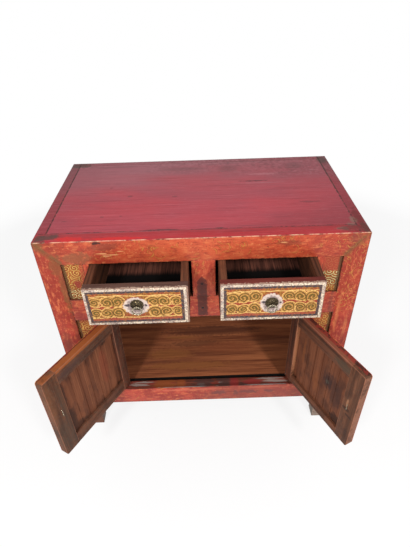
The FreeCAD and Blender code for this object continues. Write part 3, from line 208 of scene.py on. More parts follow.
class Finish:
    """A material that is built up from nodes."""

    def __init__(self, name, origin=None, turn=0.0):
        self.material = bpy.data.materials.new(name)
        self.material.use_nodes = True
        self.tree = self.material.node_tree
        self.tree.nodes.clear()
        place = self.node("ShaderNodeTexCoord").outputs["Object"]
        if origin is not None:
            place = self.moved(place, origin, turn=turn)
        self.place = place
        self.x, self.y, self.z = self.parts(place)

    def node(self, kind, settings=None, sockets=None):
        return node_in(self.tree, kind, settings, sockets)

    def sum(self, operation, *terms):
        made = self.node("ShaderNodeMath", {"operation": operation}, dict(enumerate(terms)))
        return Amount(self, made.outputs[0])

    def parts(self, place):
        found = self.node("ShaderNodeSeparateXYZ", {}, {0: place}).outputs
        return [Amount(self, part) for part in found]

    def flat(self, across, up):
        """A place on a plane, from its two distances."""
        return self.node("ShaderNodeCombineXYZ", {}, {0: across, 1: up}).outputs[0]

    def vector(self, operation, first, second):
        return self.node("ShaderNodeVectorMath", {"operation": operation},
                         {0: first, 1: second}).outputs[0]

    def moved(self, place, origin, size=(1, 1, 1), turn=0.0):
        """Places measured from an origin, along axes turned about Z, in steps of that size."""
        return self.node(
            "ShaderNodeMapping", {"vector_type": "TEXTURE"},
            {"Vector": place, "Location": origin, "Scale": size,
             "Rotation": (0, 0, math.radians(turn))},
        ).outputs[0]

    def noise_node(self, size, detail, roughness):
        """Cloudy noise whose clouds have that size along X, Y and Z, in metres."""
        size = (size, size, size) if isinstance(size, float) else size
        return self.node(
            "ShaderNodeTexNoise", {},
            {"Vector": self.moved(self.place, (0, 0, 0), size), "Scale": 1.0,
             "Detail": detail, "Roughness": roughness},
        )

    def noise(self, size, detail=3.0, roughness=0.55):
        return Amount(self, self.noise_node(size, detail, roughness).outputs[0])

    def wobbled(self, place, size, reach):
        """The place, moved about by noise by up to half that reach."""
        drift = self.noise_node(size, 2.0, 0.5).outputs[1]
        drift = self.vector("SUBTRACT", drift, (0.5, 0.5, 0.5))
        return self.vector("ADD", place, self.vector("MULTIPLY", drift, (reach, reach, reach)))

    def length(self, place):
        made = self.node("ShaderNodeVectorMath", {"operation": "LENGTH"}, {0: place})
        return Amount(self, made.outputs["Value"])

    def patches(self, ragged, share, *places):
        """The share inside ragged patches, each given by its origin and size, and 0 outside."""
        distances = []
        for origin, size in places:
            steps = [1 / part for part in size]
            start = [-middle / part for middle, part in zip(origin, size)]
            spot = self.node("ShaderNodeVectorMath", {"operation": "MULTIPLY_ADD"},
                             {0: self.place, 1: steps, 2: start})
            distances.append(self.length(spot.outputs[0]))
        return ease(least(*distances) + ragged, *PATCH_EDGE, share)

    def marked(self, colour, ragged, marks):
        """The colour with marks on it: the tint, share and places of each kind."""
        for tint, share, places in marks:
            colour = mix(self.patches(ragged, share, *places), colour, tint)
        return colour

    def edge_distance(self):
        """How far a place on a box's face is from the box's nearest edge; see fitted()."""
        low = self.node("ShaderNodeCombineXYZ", {"name": LOW_CORNER}).outputs[0]
        high = self.node("ShaderNodeCombineXYZ", {"name": HIGH_CORNER}).outputs[0]
        inward = self.vector("MINIMUM", self.vector("SUBTRACT", self.place, low),
                             self.vector("SUBTRACT", high, self.place))
        x, y, z = self.parts(inward)
        return most(least(x, y), least(most(x, y), z))

    def surface(self, colour, roughness, height, depth, specular=0.5, metallic=0.0):
        """The finished material: what varies goes to colour, roughness and height."""
        bump = self.node("ShaderNodeBump", {},
                         {"Height": height, "Distance": depth, "Strength": 1.0})
        shader = self.node(
            "ShaderNodeBsdfPrincipled", {},
            {"Base Color": colour, "Roughness": roughness, "Normal": bump.outputs[0],
             "Specular IOR Level": specular, "Metallic": metallic},
        )
        self.node("ShaderNodeOutputMaterial", {}, {"Surface": shader.outputs[0]})
        return self.material


LOW_CORNER = "low corner"
HIGH_CORNER = "high corner"
# Where a patch begins and where it is whole, in its own half sizes
PATCH_EDGE = (1.2, 0.6)


def fitted(material, node, leaf=None):
    """A copy of a finish for one member, which knows where that member's edges are."""
    made = material.copy()
    made.name = f"{node}_paint"
    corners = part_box(node) if leaf is None else leaf_box(node, leaf)
    for name, corner in zip((LOW_CORNER, HIGH_CORNER), corners):
        for socket, value in zip(made.node_tree.nodes[name].inputs, corner):
            socket.default_value = value
    return made


def leaf_place(hand):
    """Where a door's own frame is: X along the leaf from its pivot, Y out of its inside."""
    spec = DOORS[hand]
    pivot = Matrix.Translation((spec["pivot"], DOOR_PIVOT_Y, 0))
    return pivot @ Matrix.Rotation(math.radians(spec["turn"]), 4, "Z")


def leaf_box(node, hand):
    """A node's lowest and highest corners in its door's own frame."""
    to_leaf = leaf_place(hand).inverted()
    places = [to_leaf @ vertex.co for vertex in frame["nodes"][node].data.vertices]
    return [[pick(place[i] for place in places) for i in range(3)] for pick in (min, max)]


# Finishes

WOOD_DARK = (58, 30, 20)
WOOD_LIGHT = (112, 62, 38)
GRIME = (82, 56, 50)
GILT = (212, 146, 66)
OLIVE = (116, 78, 40)
NEAR_BLACK = (14, 9, 8)


def grain(finish, along, breadth, length):
    """Fibres of that breadth and length along one axis."""
    size = [breadth] * 3
    size["XYZ".index(along)] = length
    return finish.noise(tuple(size), detail=5.0, roughness=0.6)


def wood_colour(finish, along, dark, light):
    """The colour of bare old wood and the height of its fibres."""
    fibre = grain(finish, along, 0.0032, 0.14)
    figure = grain(finish, along, 0.022, 0.38)
    pores = grain(finish, along, 0.0016, 0.035)
    tone = ease(fibre * 0.45 + figure * 0.55, 0.36, 0.66)
    colour = mix(tone, dark, light)
    colour = tinted(colour, dark, pores, 0.4, 0.3, 0.55)
    return colour, fibre


def curls(finish, across, up, size, arms):
    """0 on the lines of small scrolls that fill the surface, and 1 midway between the lines."""
    flat = finish.flat(across / size, up / size)
    cells = finish.node(
        "ShaderNodeTexVoronoi", {"voronoi_dimensions": "2D"},
        {"Vector": flat, "Scale": 1.0, "Randomness": 0.75},
    )
    offset = finish.vector("SUBTRACT", flat, cells.outputs["Position"])
    right, above, _ = finish.parts(offset)
    chance = finish.node("ShaderNodeSeparateColor", {}, {0: cells.outputs["Color"]}).outputs
    way = finish.sum("SIGN", Amount(finish, chance[0]) - 0.5)
    turned = finish.sum("ARCTAN2", above, right) / math.tau * way
    phase = finish.length(offset) * arms + turned + Amount(finish, chance[1])
    return abs(finish.sum("FRACT", phase) - 0.5) * 2


def across_line(finish, start, end):
    """How far a place on the front is from the line through two points, each X and Z."""
    run = Vector((end[0] - start[0], end[1] - start[1])).normalized()
    return abs((finish.x - start[0]) * run.y - (finish.z - start[1]) * run.x)


def lying(level, marks):
    """Marks on a level face: their patches are placed by X and Y."""
    for tint, share, *spots in marks:
        yield tint, share, [((x / 1000, y / 1000, level), (length / 1000, breadth / 1000, 1))
                            for x, y, length, breadth in spots]


def upright_patch(face, x, z, length, height):
    """A patch on an upright face at that Y: its middle and half sizes."""
    return (x / 1000, face, z / 1000), (length / 1000, 1, height / 1000)


def upright(face, marks):
    """Marks on an upright face: their patches are placed by X and Z."""
    for tint, share, *spots in marks:
        yield tint, share, [upright_patch(face, *spot) for spot in spots]


# Marks on a surface: the colour and share of each kind, and its patches, each given by the two
# distances of its middle and its two half sizes, in millimetres
TOP_MARKS = (
    (GRIME, 0.85, (-438, -116, 22, 20), (-410, -108, 22, 15), (452, -108, 14, 32),
     (-428, 374, 44, 22), (440, 360, 18, 34)),
    ((124, 94, 82), 0.7, (430, -66, 11, 20), (418, -90, 16, 9), (390, -110, 20, 9)),
    ((92, 34, 30), 0.6, (430, -112, 50, 22), (446, -60, 12, 70)),
    ((98, 56, 58), 0.4, (-60, 318, 80, 16), (100, 312, 36, 26), (330, 318, 30, 26),
     (-300, 352, 100, 8)),
    ((186, 122, 128), 0.35, (215, 258, 60, 8), (200, 190, 90, 3), (-230, -93, 170, 1.8)),
    ((74, 40, 44), 0.75, (180, 205, 50, 5), (-105, -87, 55, 4), (52, -87, 12, 4)),
    ((206, 34, 34), 0.85, (-360, -122, 40, 13), (-230, -125, 80, 8)),
    ((108, 46, 52), 0.6, (330, 50, 32, 6), (-222, 120, 9, 6), (-290, 185, 6, 5), (-80, 112, 8, 4),
     (-290, -5, 6, 4), (-235, -4, 5, 3), (-395, -25, 11, 3), (130, -80, 60, 1.6)),
)


def top_colour(finish, noise):
    """Crimson lacquer of the top, with what is worn and stained on it, and a painted sheen that
    greys it towards the back.
    """
    x, y = finish.x, finish.y
    streak = grain(finish, "X", 0.0036, 0.2)
    hair = grain(finish, "X", 0.0015, 0.035)
    ragged = (noise - 0.5) * 1.8 + (streak - 0.5) * 0.8 + (hair - 0.5) * 0.8
    cloud = finish.noise((0.25, 0.08, 1.0), 2.0)
    drift = cloud - 0.5
    colour = tinted((176, 60, 70), (166, 62, 74), cloud, 0.3, 0.7)
    # painted reflection: the lacquer is greyer towards the back and paler at the back left, where
    # a sheen of the sky would lie
    colour = tinted(colour, (142, 80, 88), y + drift * 0.2, 0.05, 0.4, 0.75)
    colour = tinted(colour, (158, 104, 112), y - x * 0.4 + drift * 0.2, 0.2, 0.45, 0.45)
    colour = tinted(colour, (128, 30, 36), x * 0.5 - y + drift * 0.1, 0.05, 0.33, 0.7)
    colour = tinted(colour, (132, 50, 60), abs(x + 0.04) + drift * 0.2, 0.2, 0.42, 0.35)
    # the front frame is redder, the end frames are greyer and the back is dull
    strip = ease(y + (noise - 0.5) * 0.02, -0.085, -0.1, 0.85)
    colour = mix(strip, colour, (176, 36, 42))
    end = ease(abs(x) + (noise - 0.5) * 0.004, 0.4275, 0.4315, 0.45)
    colour = mix(end, colour, (108, 46, 48))
    rear = ease(y + (noise - 0.5) * 0.02, 0.358, 0.37, 0.35)
    colour = mix(rear, colour, (116, 78, 80))
    colour = tinted(colour, (204, 112, 120), streak, 0.54, 0.72, 0.3)
    colour = tinted(colour, (112, 36, 44), streak, 0.48, 0.3, 0.55)
    colour = tinted(colour, (212, 124, 130), hair, 0.56, 0.7, 0.3)
    colour = tinted(colour, (104, 34, 42), hair, 0.44, 0.3, 0.4)
    # the right of the back edge is mottled with old dirt
    dirty = ease(y + x * 0.1 + drift * 0.2, 0.24, 0.34)
    dirty = dirty * ease(x + drift * 0.4, -0.24, -0.04)
    mottle = noise * 0.35 + streak * 0.45 + hair * 0.2
    colour = mix(ease(mottle, 0.5, 0.57, 0.55) * dirty, colour, (92, 52, 54))
    colour = mix(ease(mottle, 0.49, 0.43, 0.25) * dirty, colour, (184, 134, 140))
    colour = finish.marked(colour, ragged, lying(TOP_Z, TOP_MARKS))
    # the joint lines between the frame and the panel, opened by age
    left_line = ease(abs(x + JOINT_OUT), 0.0034, 0.0012) * ease(noise, 0.36, 0.5)
    left_line = left_line * ease(y, -0.092, -0.084)
    right_line = ease(abs(x - JOINT_OUT), 0.0034, 0.0012)
    right_line = right_line * ease(noise + y * 0.5, 0.46, 0.58)
    front_line = ease(abs(y + JOINT_FRONT), 0.0022, 0.0008) * ease(noise, 0.46, 0.58)
    lines = most(left_line, right_line, front_line) * 0.85
    return mix(lines, colour, (56, 32, 30))


# Middle X and Z, start and size of the gilt curls that can still be made out on the front
GILT_CURLS = {
    "X": (
        (-0.133, 0.796, 0.3, 0.80), (0.112, 0.797, 0.8, 0.85), (0.222, 0.815, 0.1, 0.70),
        (0.244, 0.811, 0.6, 0.50), (-0.012, 0.772, 0.4, 0.50), (0.330, 0.790, 0.2, 0.60),
    ),
    "Y": (),
    "Z": (
        (0.415, 0.742, 0.3, 0.80), (0.445, 0.778, 0.7, 0.70), (0.424, 0.690, 0.9, 0.65),
        (0.438, 0.628, 0.2, 0.80), (-0.016, 0.735, 0.5, 0.60),
    ),
}


FRONT_MARKS = (
    (OLIVE, 0.65, (-408, 745, 22, 40), (-404, 660, 11, 90), (-449, 812, 20, 14)),
    ((140, 80, 48), 0.75, (-350, 770, 44, 20)),
    ((128, 58, 42), 0.6, (-402, 500, 10, 80), (-266, 806, 44, 15), (240, 800, 36, 10),
     (430, 808, 30, 14), (385, 560, 6, 150), (-440, 420, 16, 100)),
    ((52, 26, 24), 0.9, (-284, 818, 13, 5)),
    ((226, 160, 108), 0.8, (-276, 784, 16, 2.2), (-250, 779, 24, 1.8), (-262, 774, 10, 1.6),
     (-225, 790, 10, 1.6), (226, 802, 10, 1.8)),
    ((196, 116, 70), 0.4, (412, 540, 6, 90), (444, 480, 6, 60)),
    ((118, 58, 50), 0.35, (160, 160, 190, 50)),
    ((104, 52, 54), 0.75, (45, 163, 26, 11), (104, 161, 10, 12), (150, 163, 40, 11),
     (222, 164, 20, 9)),
    ((204, 110, 84), 0.5, (-60, 184, 140, 5), (200, 186, 60, 4)),
)
# Where the gilt pattern is best kept: patches alone
GILT_PLACES = (
    (425, 735, 40, 60), (420, 800, 60, 26), (224, 812, 34, 16), (60, 795, 36, 26),
    (-140, 790, 26, 24), (-270, 780, 50, 14), (430, 600, 30, 60), (-20, 735, 30, 30),
)
NAIL_HOLES = ((-3, 667, 4.5, 4.5), (-3, 575, 4.5, 4.5))


def front_colour(finish, along, noise, ragged):
    """Orange-red paint of the front frame, with traces of a gilt scroll pattern and its wear, and
    painted shade on its upper ends.
    """
    x, z = finish.x, finish.z
    cloud = finish.noise(0.06, 3.0)
    fine = finish.noise(0.006, 4.0, 0.65)
    stroke = grain(finish, along, 0.009, 0.03)
    drift = cloud - 0.5
    lower = ease(z + drift * 0.1, 0.64, 0.5)
    colour = mix(lower, (186, 74, 46), (178, 66, 50))
    deep = mix(lower, (158, 54, 36), (146, 46, 38))
    colour = tinted(colour, deep, cloud, 0.6, 0.4, 0.8)
    middle = ease(abs(x) + drift * 0.3, 0.28, 0.08, 0.6) * ease(z, 0.74, 0.76)
    colour = mix(middle, colour, (204, 92, 58))
    # painted shade: the ends of the front are darkened, most of all on the upper posts
    ends = ease(abs(x) + drift * 0.1, 0.36, 0.41, 0.55) * (1 - lower * 0.6)
    colour = mix(ends, colour, (124, 34, 20))
    colour = tinted(colour, (216, 122, 74), stroke, 0.5, 0.68, 0.6)
    colour = tinted(colour, (124, 42, 30), stroke, 0.48, 0.32, 0.55)
    colour = tinted(colour, (226, 144, 92), fine, 0.58, 0.7, 0.5)
    colour = tinted(colour, (88, 34, 24), fine, 0.4, 0.3, 0.7)
    # what is left of the gilt scrolls
    line = curls(finish, x, z, 0.04, 2.6) + (noise - 0.5) * 1.2
    places = [upright_patch(FRONT_Y, *spot) for spot in GILT_PLACES]
    kept_gilt = most(finish.patches(ragged, 1.0, *places), ease(cloud, 0.6, 0.7))
    colour = mix(kept_gilt * ease(line, 0.44, 0.3, 0.3), colour, (112, 52, 32))
    colour = mix(kept_gilt * ease(line, 0.18, 0.04, 0.45), colour, GILT)
    if GILT_CURLS[along]:
        flat = finish.flat(x, z)
        nears = [scroll(finish, flat, (curl_x, curl_z), start, size)[0]
                 for curl_x, curl_z, start, size in GILT_CURLS[along]]
        near = least(*nears) + (fine - 0.5) * 0.5
        colour = tinted(colour, (112, 56, 30), near, 0.3, 0.2, 0.5)
        colour = tinted(colour, GILT, near, 0.16, 0.06, 0.7)
    colour = finish.marked(colour, ragged, upright(FRONT_Y, FRONT_MARKS))
    # dark paint has gathered along the mitres of the top corners
    left_mitre = across_line(finish, (-HALF_WIDTH, TOP_Z), (-POST_INNER, RAIL_Z))
    right_mitre = across_line(finish, (HALF_WIDTH, TOP_Z), (POST_INNER, RAIL_Z))
    mitres = ease(least(left_mitre, right_mitre), 0.013, 0.003)
    corner = ease(z, 0.742, 0.752) * ease(abs(x), 0.39, 0.4)
    mitres = mitres * corner * ease(noise, 0.3, 0.55, 0.8)
    colour = mix(mitres, colour, OLIVE)
    scar = scar_mask(finish, noise) * ease(noise, 0.84, 0.5)
    colour = mix(scar * 0.9, colour, (92, 40, 32))
    nails = [upright_patch(FRONT_Y, *spot) for spot in NAIL_HOLES]
    colour = mix(finish.patches(ragged * 0.2, 1.0, *nails), colour, (38, 20, 18))
    return colour, fine


# How far left of the middle the scar lies, half its breadth, and its levels
SCAR_LEFT = 0.003
SCAR_HALF = 0.016
SCAR_FOOT = 0.541
SCAR_TIP = 0.674
SCAR_TOP = 0.699


def scar_mask(finish, noise):
    """The dark tongue on the divider where a lock plate has been."""
    tip = abs(finish.x + SCAR_LEFT) + ease(finish.z, SCAR_TIP, SCAR_TOP, SCAR_HALF)
    sides = ease(tip + (noise - 0.5) * 0.008, SCAR_HALF, 0.013)
    ends = ease(finish.z + (noise - 0.5) * 0.006, SCAR_FOOT, 0.546)
    return sides * ends * ease(finish.z, SCAR_TOP, 0.692)


SILL_MARKS = (
    ((150, 134, 126), 0.85, (-240, -120, 34, 5), (-225, -108, 44, 4), (244, -120, 44, 6),
     (230, -107, 50, 4), (-20, -124, 16, 6), (50, -118, 10, 4)),
    ((142, 74, 38), 0.85, (-150, -119, 46, 50), (-92, -119, 16, 50)),
    ((72, 50, 46), 0.8, (-10, -119, 36, 50), (66, -119, 30, 50), (130, -130, 20, 10)),
    ((136, 44, 42), 0.8, (100, -119, 16, 50), (165, -120, 36, 12)),
    ((176, 168, 166), 0.55, (-80, -133.5, 100, 1.6), (210, -133.5, 80, 1.8)),
)


def sill_colour(finish):
    """The top of the bottom rail, rubbed bare by the doors."""
    colour, _ = wood_colour(finish, "X", (76, 40, 30), (126, 66, 48))
    patchy = finish.noise((0.035, 0.007, 1.0), 4.0, 0.65)
    colour = tinted(colour, (138, 50, 42), patchy, 0.5, 0.62, 0.7)
    return finish.marked(colour, (patchy - 0.5) * 2.4, lying(SILL_Z, SILL_MARKS))


def frame_paint(along, sill=False):
    """Paint of the frame: crimson on top, painted outside, bare inside, with worn arrises,
    painted shade on the upper uprights and a painted shadow in the gap behind the sill.
    """
    finish = Finish("sill_paint" if sill else f"frame_paint_along_{along}")
    x, y, z = finish.x, finish.y, finish.z
    noise = finish.noise(0.012, 4.0, 0.6)
    coarse = finish.noise(0.05, 2.0)
    ragged = (noise - 0.5) * 1.8
    bare, fibre = wood_colour(finish, along, WOOD_DARK, WOOD_LIGHT)
    front, relief = front_colour(finish, along, noise, ragged)
    flank = tinted((146, 42, 34), (166, 54, 40), coarse, 0.3, 0.7)
    flank = tinted(flank, (104, 36, 29), relief, 0.46, 0.32, 0.5)
    at_flank = ease(abs(x), HALF_WIDTH - PAINT_FROM, HALF_WIDTH - PAINT_FULL)
    at_front = ease(y, FRONT_Y + 0.003, FRONT_Y + 0.0012)
    painted = mix(at_front, flank, front)
    shown = most(at_front, at_flank)
    height = fibre * 0.4 + relief * 0.6
    if sill:
        on_sill_top = ease(z, SILL_Z - 0.002, SILL_Z - 0.0008)
        shown = shown * (1 - on_sill_top)
        bare = mix(on_sill_top, bare, sill_colour(finish))
        # painted shadow: the back of the sill below its top, in the gap before the floor boards,
        # is near black
        gap_shadow = ease(y, SILL_BACK - 0.012, SILL_BACK - 0.01)
        gap_shadow = gap_shadow * ease(z, SILL_Z - 0.0015, SILL_Z - 0.0025)
        bare = mix(gap_shadow, bare, NEAR_BLACK)
        painted = mix(ease(x, -0.08, 0.08, 0.18) + 0.08, painted, (92, 62, 50))
    else:
        crimson = top_colour(finish, noise)
        at_top = ease(z, TOP_Z - PAINT_FROM, TOP_Z - PAINT_FULL)
        painted = mix(at_top, painted, crimson)
        shown = most(shown, at_top)
    colour = mix(shown, bare, painted)
    edge = finish.edge_distance() + (noise - 0.5) * 0.01 + (coarse - 0.5) * 0.006
    worn = ease(edge, 0.0018, 0.0002, 0.85) * shown
    colour = mix(worn, colour, (92, 50, 36))
    if along == "Z":
        # painted shade: the upright members are darker towards the top
        colour = mix(ease(z, 0.62, 0.7, 0.25) * shown, colour, (136, 34, 24))
        # the feet are worn, brown on the left and grey on the right
        foot = tinted((94, 62, 42), (128, 118, 106), x, 0, 0.1)
        foot = tinted(foot, (66, 46, 36), relief, 0.5, 0.62, 0.6)
        colour = tinted(colour, foot, z + (noise - 0.5) * 0.09, 0.12, 0.05, 0.9)
    # the undercoat shows pale along the front arris of the top
    arris = ease(abs(z - TOP_Z + 0.0006) + (noise - 0.5) * 0.003, 0.0013, 0.0004)
    arris = arris * ease(y, FRONT_Y + 0.003, FRONT_Y + 0.002)
    arris = arris * ease(finish.noise((0.03, 1.0, 1.0), 5.0, 0.65), 0.38, 0.58, 0.75)
    colour = mix(arris, colour, (238, 184, 150))
    return finish.surface(colour, 0.46 + noise * 0.16, height, 0.0006, specular=0.32)


def side_lacquer(side):
    """A side panel: red paint outside, worn thin along the grain, and bare wood inside."""
    finish = Finish(f"{side}_side_panel_paint")
    cloud = finish.noise(0.05, 2.0)
    bare, fibre = wood_colour(finish, "Z", WOOD_DARK, WOOD_LIGHT)
    red = tinted((142, 40, 33), (164, 54, 40), cloud, 0.28, 0.72)
    thin = ease(fibre * 0.85 + cloud * 0.15, 0.46, 0.32, 0.6)
    red = mix(thin, red, (98, 38, 30))
    outside = ease(abs(finish.x), HALF_WIDTH - 0.016, HALF_WIDTH - 0.015)
    colour = mix(outside, bare, red)
    return finish.surface(colour, 0.48 + cloud * 0.16, fibre, 0.0005, specular=0.3)


def panel_lacquer(name):
    """The top panel: crimson above and bare wood below."""
    finish = Finish(name)
    noise = finish.noise(0.012, 4.0, 0.6)
    colour = top_colour(finish, noise)
    bare, fibre = wood_colour(finish, "X", WOOD_DARK, WOOD_LIGHT)
    at_top = ease(finish.z, TOP_Z - 0.004, TOP_Z - 0.001)
    return finish.surface(mix(at_top, bare, colour), 0.38 + fibre * 0.24, fibre, 0.0005,
                          specular=0.42)


def bare_wood(name, along, dark, light):
    """Old wood that was never painted, with grime in patches."""
    finish = Finish(name)
    colour, fibre = wood_colour(finish, along, dark, light)
    grime = finish.noise(0.09, 3.0)
    colour = tinted(colour, WOOD_DARK, grime, 0.52, 0.74, 0.5)
    return finish.surface(colour, 0.68 + fibre * 0.15, fibre, 0.0006, specular=0.2)


# The middle of the dark lattice, and of the part below it that is rubbed red (Z)
LATTICE_Z = {"left": 0.63, "right": 0.668}
RUBBED_Z = 0.57


def flank_panel(name, side):
    """A small panel beside the drawers or doors: scrolls on ochre, and a dark outer band."""
    finish = Finish(name)
    x, z = finish.x, finish.z
    noise = finish.noise(0.01, 4.0, 0.62)
    cloud = finish.noise(0.035, 3.0)
    ochre = tinted((146, 70, 30), (178, 104, 44), noise, 0.35, 0.65)
    line = curls(finish, x, z, 0.025, 3.4) + (noise - 0.5) * 0.35
    lattice = ease(abs(z - LATTICE_Z[side]), 0.032, 0.022)
    dark_line = mix(lattice, (96, 46, 20), (36, 26, 16))
    light_line = mix(lattice, (222, 172, 88), (236, 212, 146))
    colour = tinted(ochre, dark_line, line, 0.66, 0.5, 0.9)
    colour = tinted(colour, light_line, line, 0.34, 0.18, 0.95)
    foot = ease(abs(z - RUBBED_Z), 0.055, 0.03)
    if side == "right":
        foot = most(foot, ease(z + (cloud - 0.5) * 0.08, 0.675, 0.695))
    worn = most(ease(cloud, 0.56, 0.66), foot * 0.95) * (1 - lattice)
    colour = mix(worn * 0.9, colour, (154, 56, 40))
    inner = ease(abs(x) + (noise - 0.5) * 0.006, 0.352, 0.346, 0.7)
    colour = mix(inner, colour, (170, 66, 46))
    band = ease(abs(x) + (noise - 0.5) * 0.008, 0.386, 0.391, 0.85)
    colour = mix(band, colour, (84, 58, 34))
    at_front = ease(finish.y, FRONT_Y + 0.008, FRONT_Y + 0.007)
    bare, _ = wood_colour(finish, "Z", WOOD_DARK, WOOD_LIGHT)
    colour = mix(at_front, bare, colour)
    return finish.surface(colour, 0.5 + noise * 0.15, line * 0.6 + noise * 0.4, 0.0005,
                          specular=0.3)


SCROLL_COLUMNS = (0.049, 0.079, 0.108)
SCROLL_ROWS = (0.04, 0.081)
SCROLL_PITCH = 0.0092
SCROLL_REACH = 1.12
# How far each scroll may be off its place, and the seeds of the two fronts' draws
SCROLL_DRIFT = 0.003
SCROLL_SEEDS = {"left": 5, "right": 8}
# The lines of the scrolled field, up from the drawer front's lower edge
MIDDLE_LINE = 0.0605
LINE_HALF = 0.0075
LOW_LINE = 0.0255
HIGH_LINE = 0.101


def scroll(finish, place, centre, start, size):
    """How far a place is along and across one painted scroll, both in turns of its spiral."""
    local = finish.moved(place, (*centre, 0), (size, size, 1))
    across, up, _ = finish.parts(local)
    turned = finish.sum("ARCTAN2", up, across) / math.tau
    phase = finish.length(local) / SCROLL_PITCH - finish.sum("FRACT", turned + start)
    near = abs(finish.sum("FRACT", phase + 0.5) - 0.5)
    beyond = ease(phase, SCROLL_REACH - 0.3, SCROLL_REACH, 0.5)
    thicker = ease(phase, 0.2, SCROLL_REACH, 0.05)
    return near + beyond - thicker, phase


def drawer_front(hand, halo, shift, edge_tones):
    """A drawer front: running scrolls on ochre, a dark line and a worn cream border."""
    spec = DRAWERS[hand]
    finish = Finish(f"{hand}_drawer_scrolls", (spec["centre"], spec["front"], spec["bottom"]))
    x, z = finish.x, finish.z
    noise = finish.noise(0.007, 4.0, 0.62)
    coarse = finish.noise(0.026, 3.0)
    wobble = (noise - 0.5) * 0.004
    chance = random.Random(SCROLL_SEEDS[hand])
    ochre = tinted((120, 66, 26), (172, 118, 50), noise, 0.36, 0.62)
    red = (146, 58, 36)
    ground = ease(coarse * 0.6 + noise * 0.4, 0.46, 0.56, 0.8)
    colour = mix(ground, ochre, red)
    # the scrolls are mirrored about the middle, and drawn by an unsteady hand
    bent = finish.wobbled(finish.flat(x - shift, z), 0.035, 0.012)
    bent = finish.wobbled(bent, 0.012, 0.0025)
    bent_x, bent_z, _ = finish.parts(bent)
    folded = finish.flat(abs(bent_x), bent_z)
    middle_line = abs(bent_z - MIDDLE_LINE + finish.sum("SINE", bent_x * 105) * 0.003)
    colour = tinted(colour, red, middle_line, LINE_HALF, 0.0045, 0.75)
    foot_line = ease(bent_z + finish.sum("SINE", bent_x * 140) * 0.002, 0.0245, 0.0205)
    colour = mix(foot_line * 0.7, colour, (156, 72, 56))
    cream_line = (220, 178, 106)
    edges = least(abs(middle_line - LINE_HALF), abs(bent_z - LOW_LINE), abs(bent_z - HIGH_LINE))
    colour = tinted(colour, cream_line, edges, 0.0022, 0.001, 0.85)
    nears, phases = [], []
    for row_z in SCROLL_ROWS:
        for column in SCROLL_COLUMNS:
            centre = (column + chance.uniform(-SCROLL_DRIFT, SCROLL_DRIFT),
                      row_z + chance.uniform(-SCROLL_DRIFT, SCROLL_DRIFT))
            near, phase = scroll(finish, folded, centre, chance.uniform(0.3, 0.6),
                                 chance.uniform(0.88, 1.1))
            nears.append(near)
            phases.append(phase)
    near, phase = least(*nears), least(*phases)
    outline = ease(phase, SCROLL_REACH + 0.46, SCROLL_REACH + 0.38, 0.95)
    colour = mix(outline, colour, cream_line)
    body = ease(phase, SCROLL_REACH + 0.26, SCROLL_REACH + 0.18, 0.9)
    paler = finish.node("ShaderNodeMix", {"data_type": "RGBA"},
                        {0: 0.35, 6: ochre, 7: paint(204, 152, 74)})
    colour = mix(body, colour, paler.outputs[2])
    near = near + (noise - 0.5) * 0.1
    colour = tinted(colour, (66, 38, 16), near, 0.31, 0.25, 0.94)
    colour = tinted(colour, (110, 90, 28), near, 0.21, 0.14, 0.85)
    flecks = finish.noise(0.0042, 3.0)
    colour = tinted(colour, (86, 40, 26), flecks, 0.54, 0.64, 0.8)
    colour = tinted(colour, (226, 184, 120), flecks, 0.4, 0.3, 0.5)
    # the pale ring that the old pull has rubbed, with dark stains at its two sides
    halo_x, halo_z, half_x, half_z = halo
    place = finish.moved(finish.place, (halo_x, 0, halo_z), (half_x, 1, half_z))
    across, _, up = finish.parts(place)
    ring = finish.length(finish.flat(across, up))
    pale = ease(ring + (noise - 0.5) * 0.5, 1.06, 0.94, 0.92)
    colour = mix(pale, colour, (206, 188, 176))
    inner = ease(ring + (noise - 0.5) * 1.1, 0.86, 0.62, 0.75)
    colour = mix(inner, colour, (112, 92, 92))
    left_stain = (halo_x - half_x * 0.66, 0, halo_z + 0.004), (0.009, 1, 0.005)
    right_stain = (halo_x + half_x * 0.8, 0, halo_z + 0.002), (0.004, 1, 0.004)
    stains = finish.patches((noise - 0.5) * 1.2, 0.9, left_stain, right_stain)
    colour = mix(stains, colour, (58, 46, 54))
    inset = least(x + DRAWER_WIDTH / 2 - shift, DRAWER_WIDTH / 2 + shift - x, z + 0.002,
                  DRAWER_HEIGHT - z) + wobble
    ink = tinted((64, 54, 58), (124, 84, 56), noise, 0.48, 0.6, 0.8)
    colour = tinted(colour, ink, inset, 0.0178, 0.016)
    cream = tinted((224, 206, 180), (184, 166, 152), coarse, 0.4, 0.6)
    cream = tinted(cream, (104, 84, 80), noise, 0.5, 0.64, 0.8)
    cream = tinted(cream, (96, 72, 68), flecks, 0.52, 0.6, 0.75)
    cream = tinted(cream, (190, 120, 98), noise, 0.44, 0.32, 0.7)
    colour = tinted(colour, cream, inset, 0.0102, 0.0086)
    rim = ease(inset, 0.0022, 0.001, 0.8)
    colour = mix(rim, colour, (120, 78, 62))
    at_front = ease(finish.y, 0.0022, 0.0012)
    bare, _ = wood_colour(finish, "X", *edge_tones)
    # some of the border's paint has run over the front of the top edge
    run_over = ease(finish.y + (noise - 0.5) * 0.022, 0.005, 0.002, 0.75)
    bare = mix(run_over, bare, (190, 164, 144))
    colour = mix(at_front, bare, colour)
    return finish.surface(colour, 0.55 + noise * 0.2, noise, 0.0006, specular=0.25)
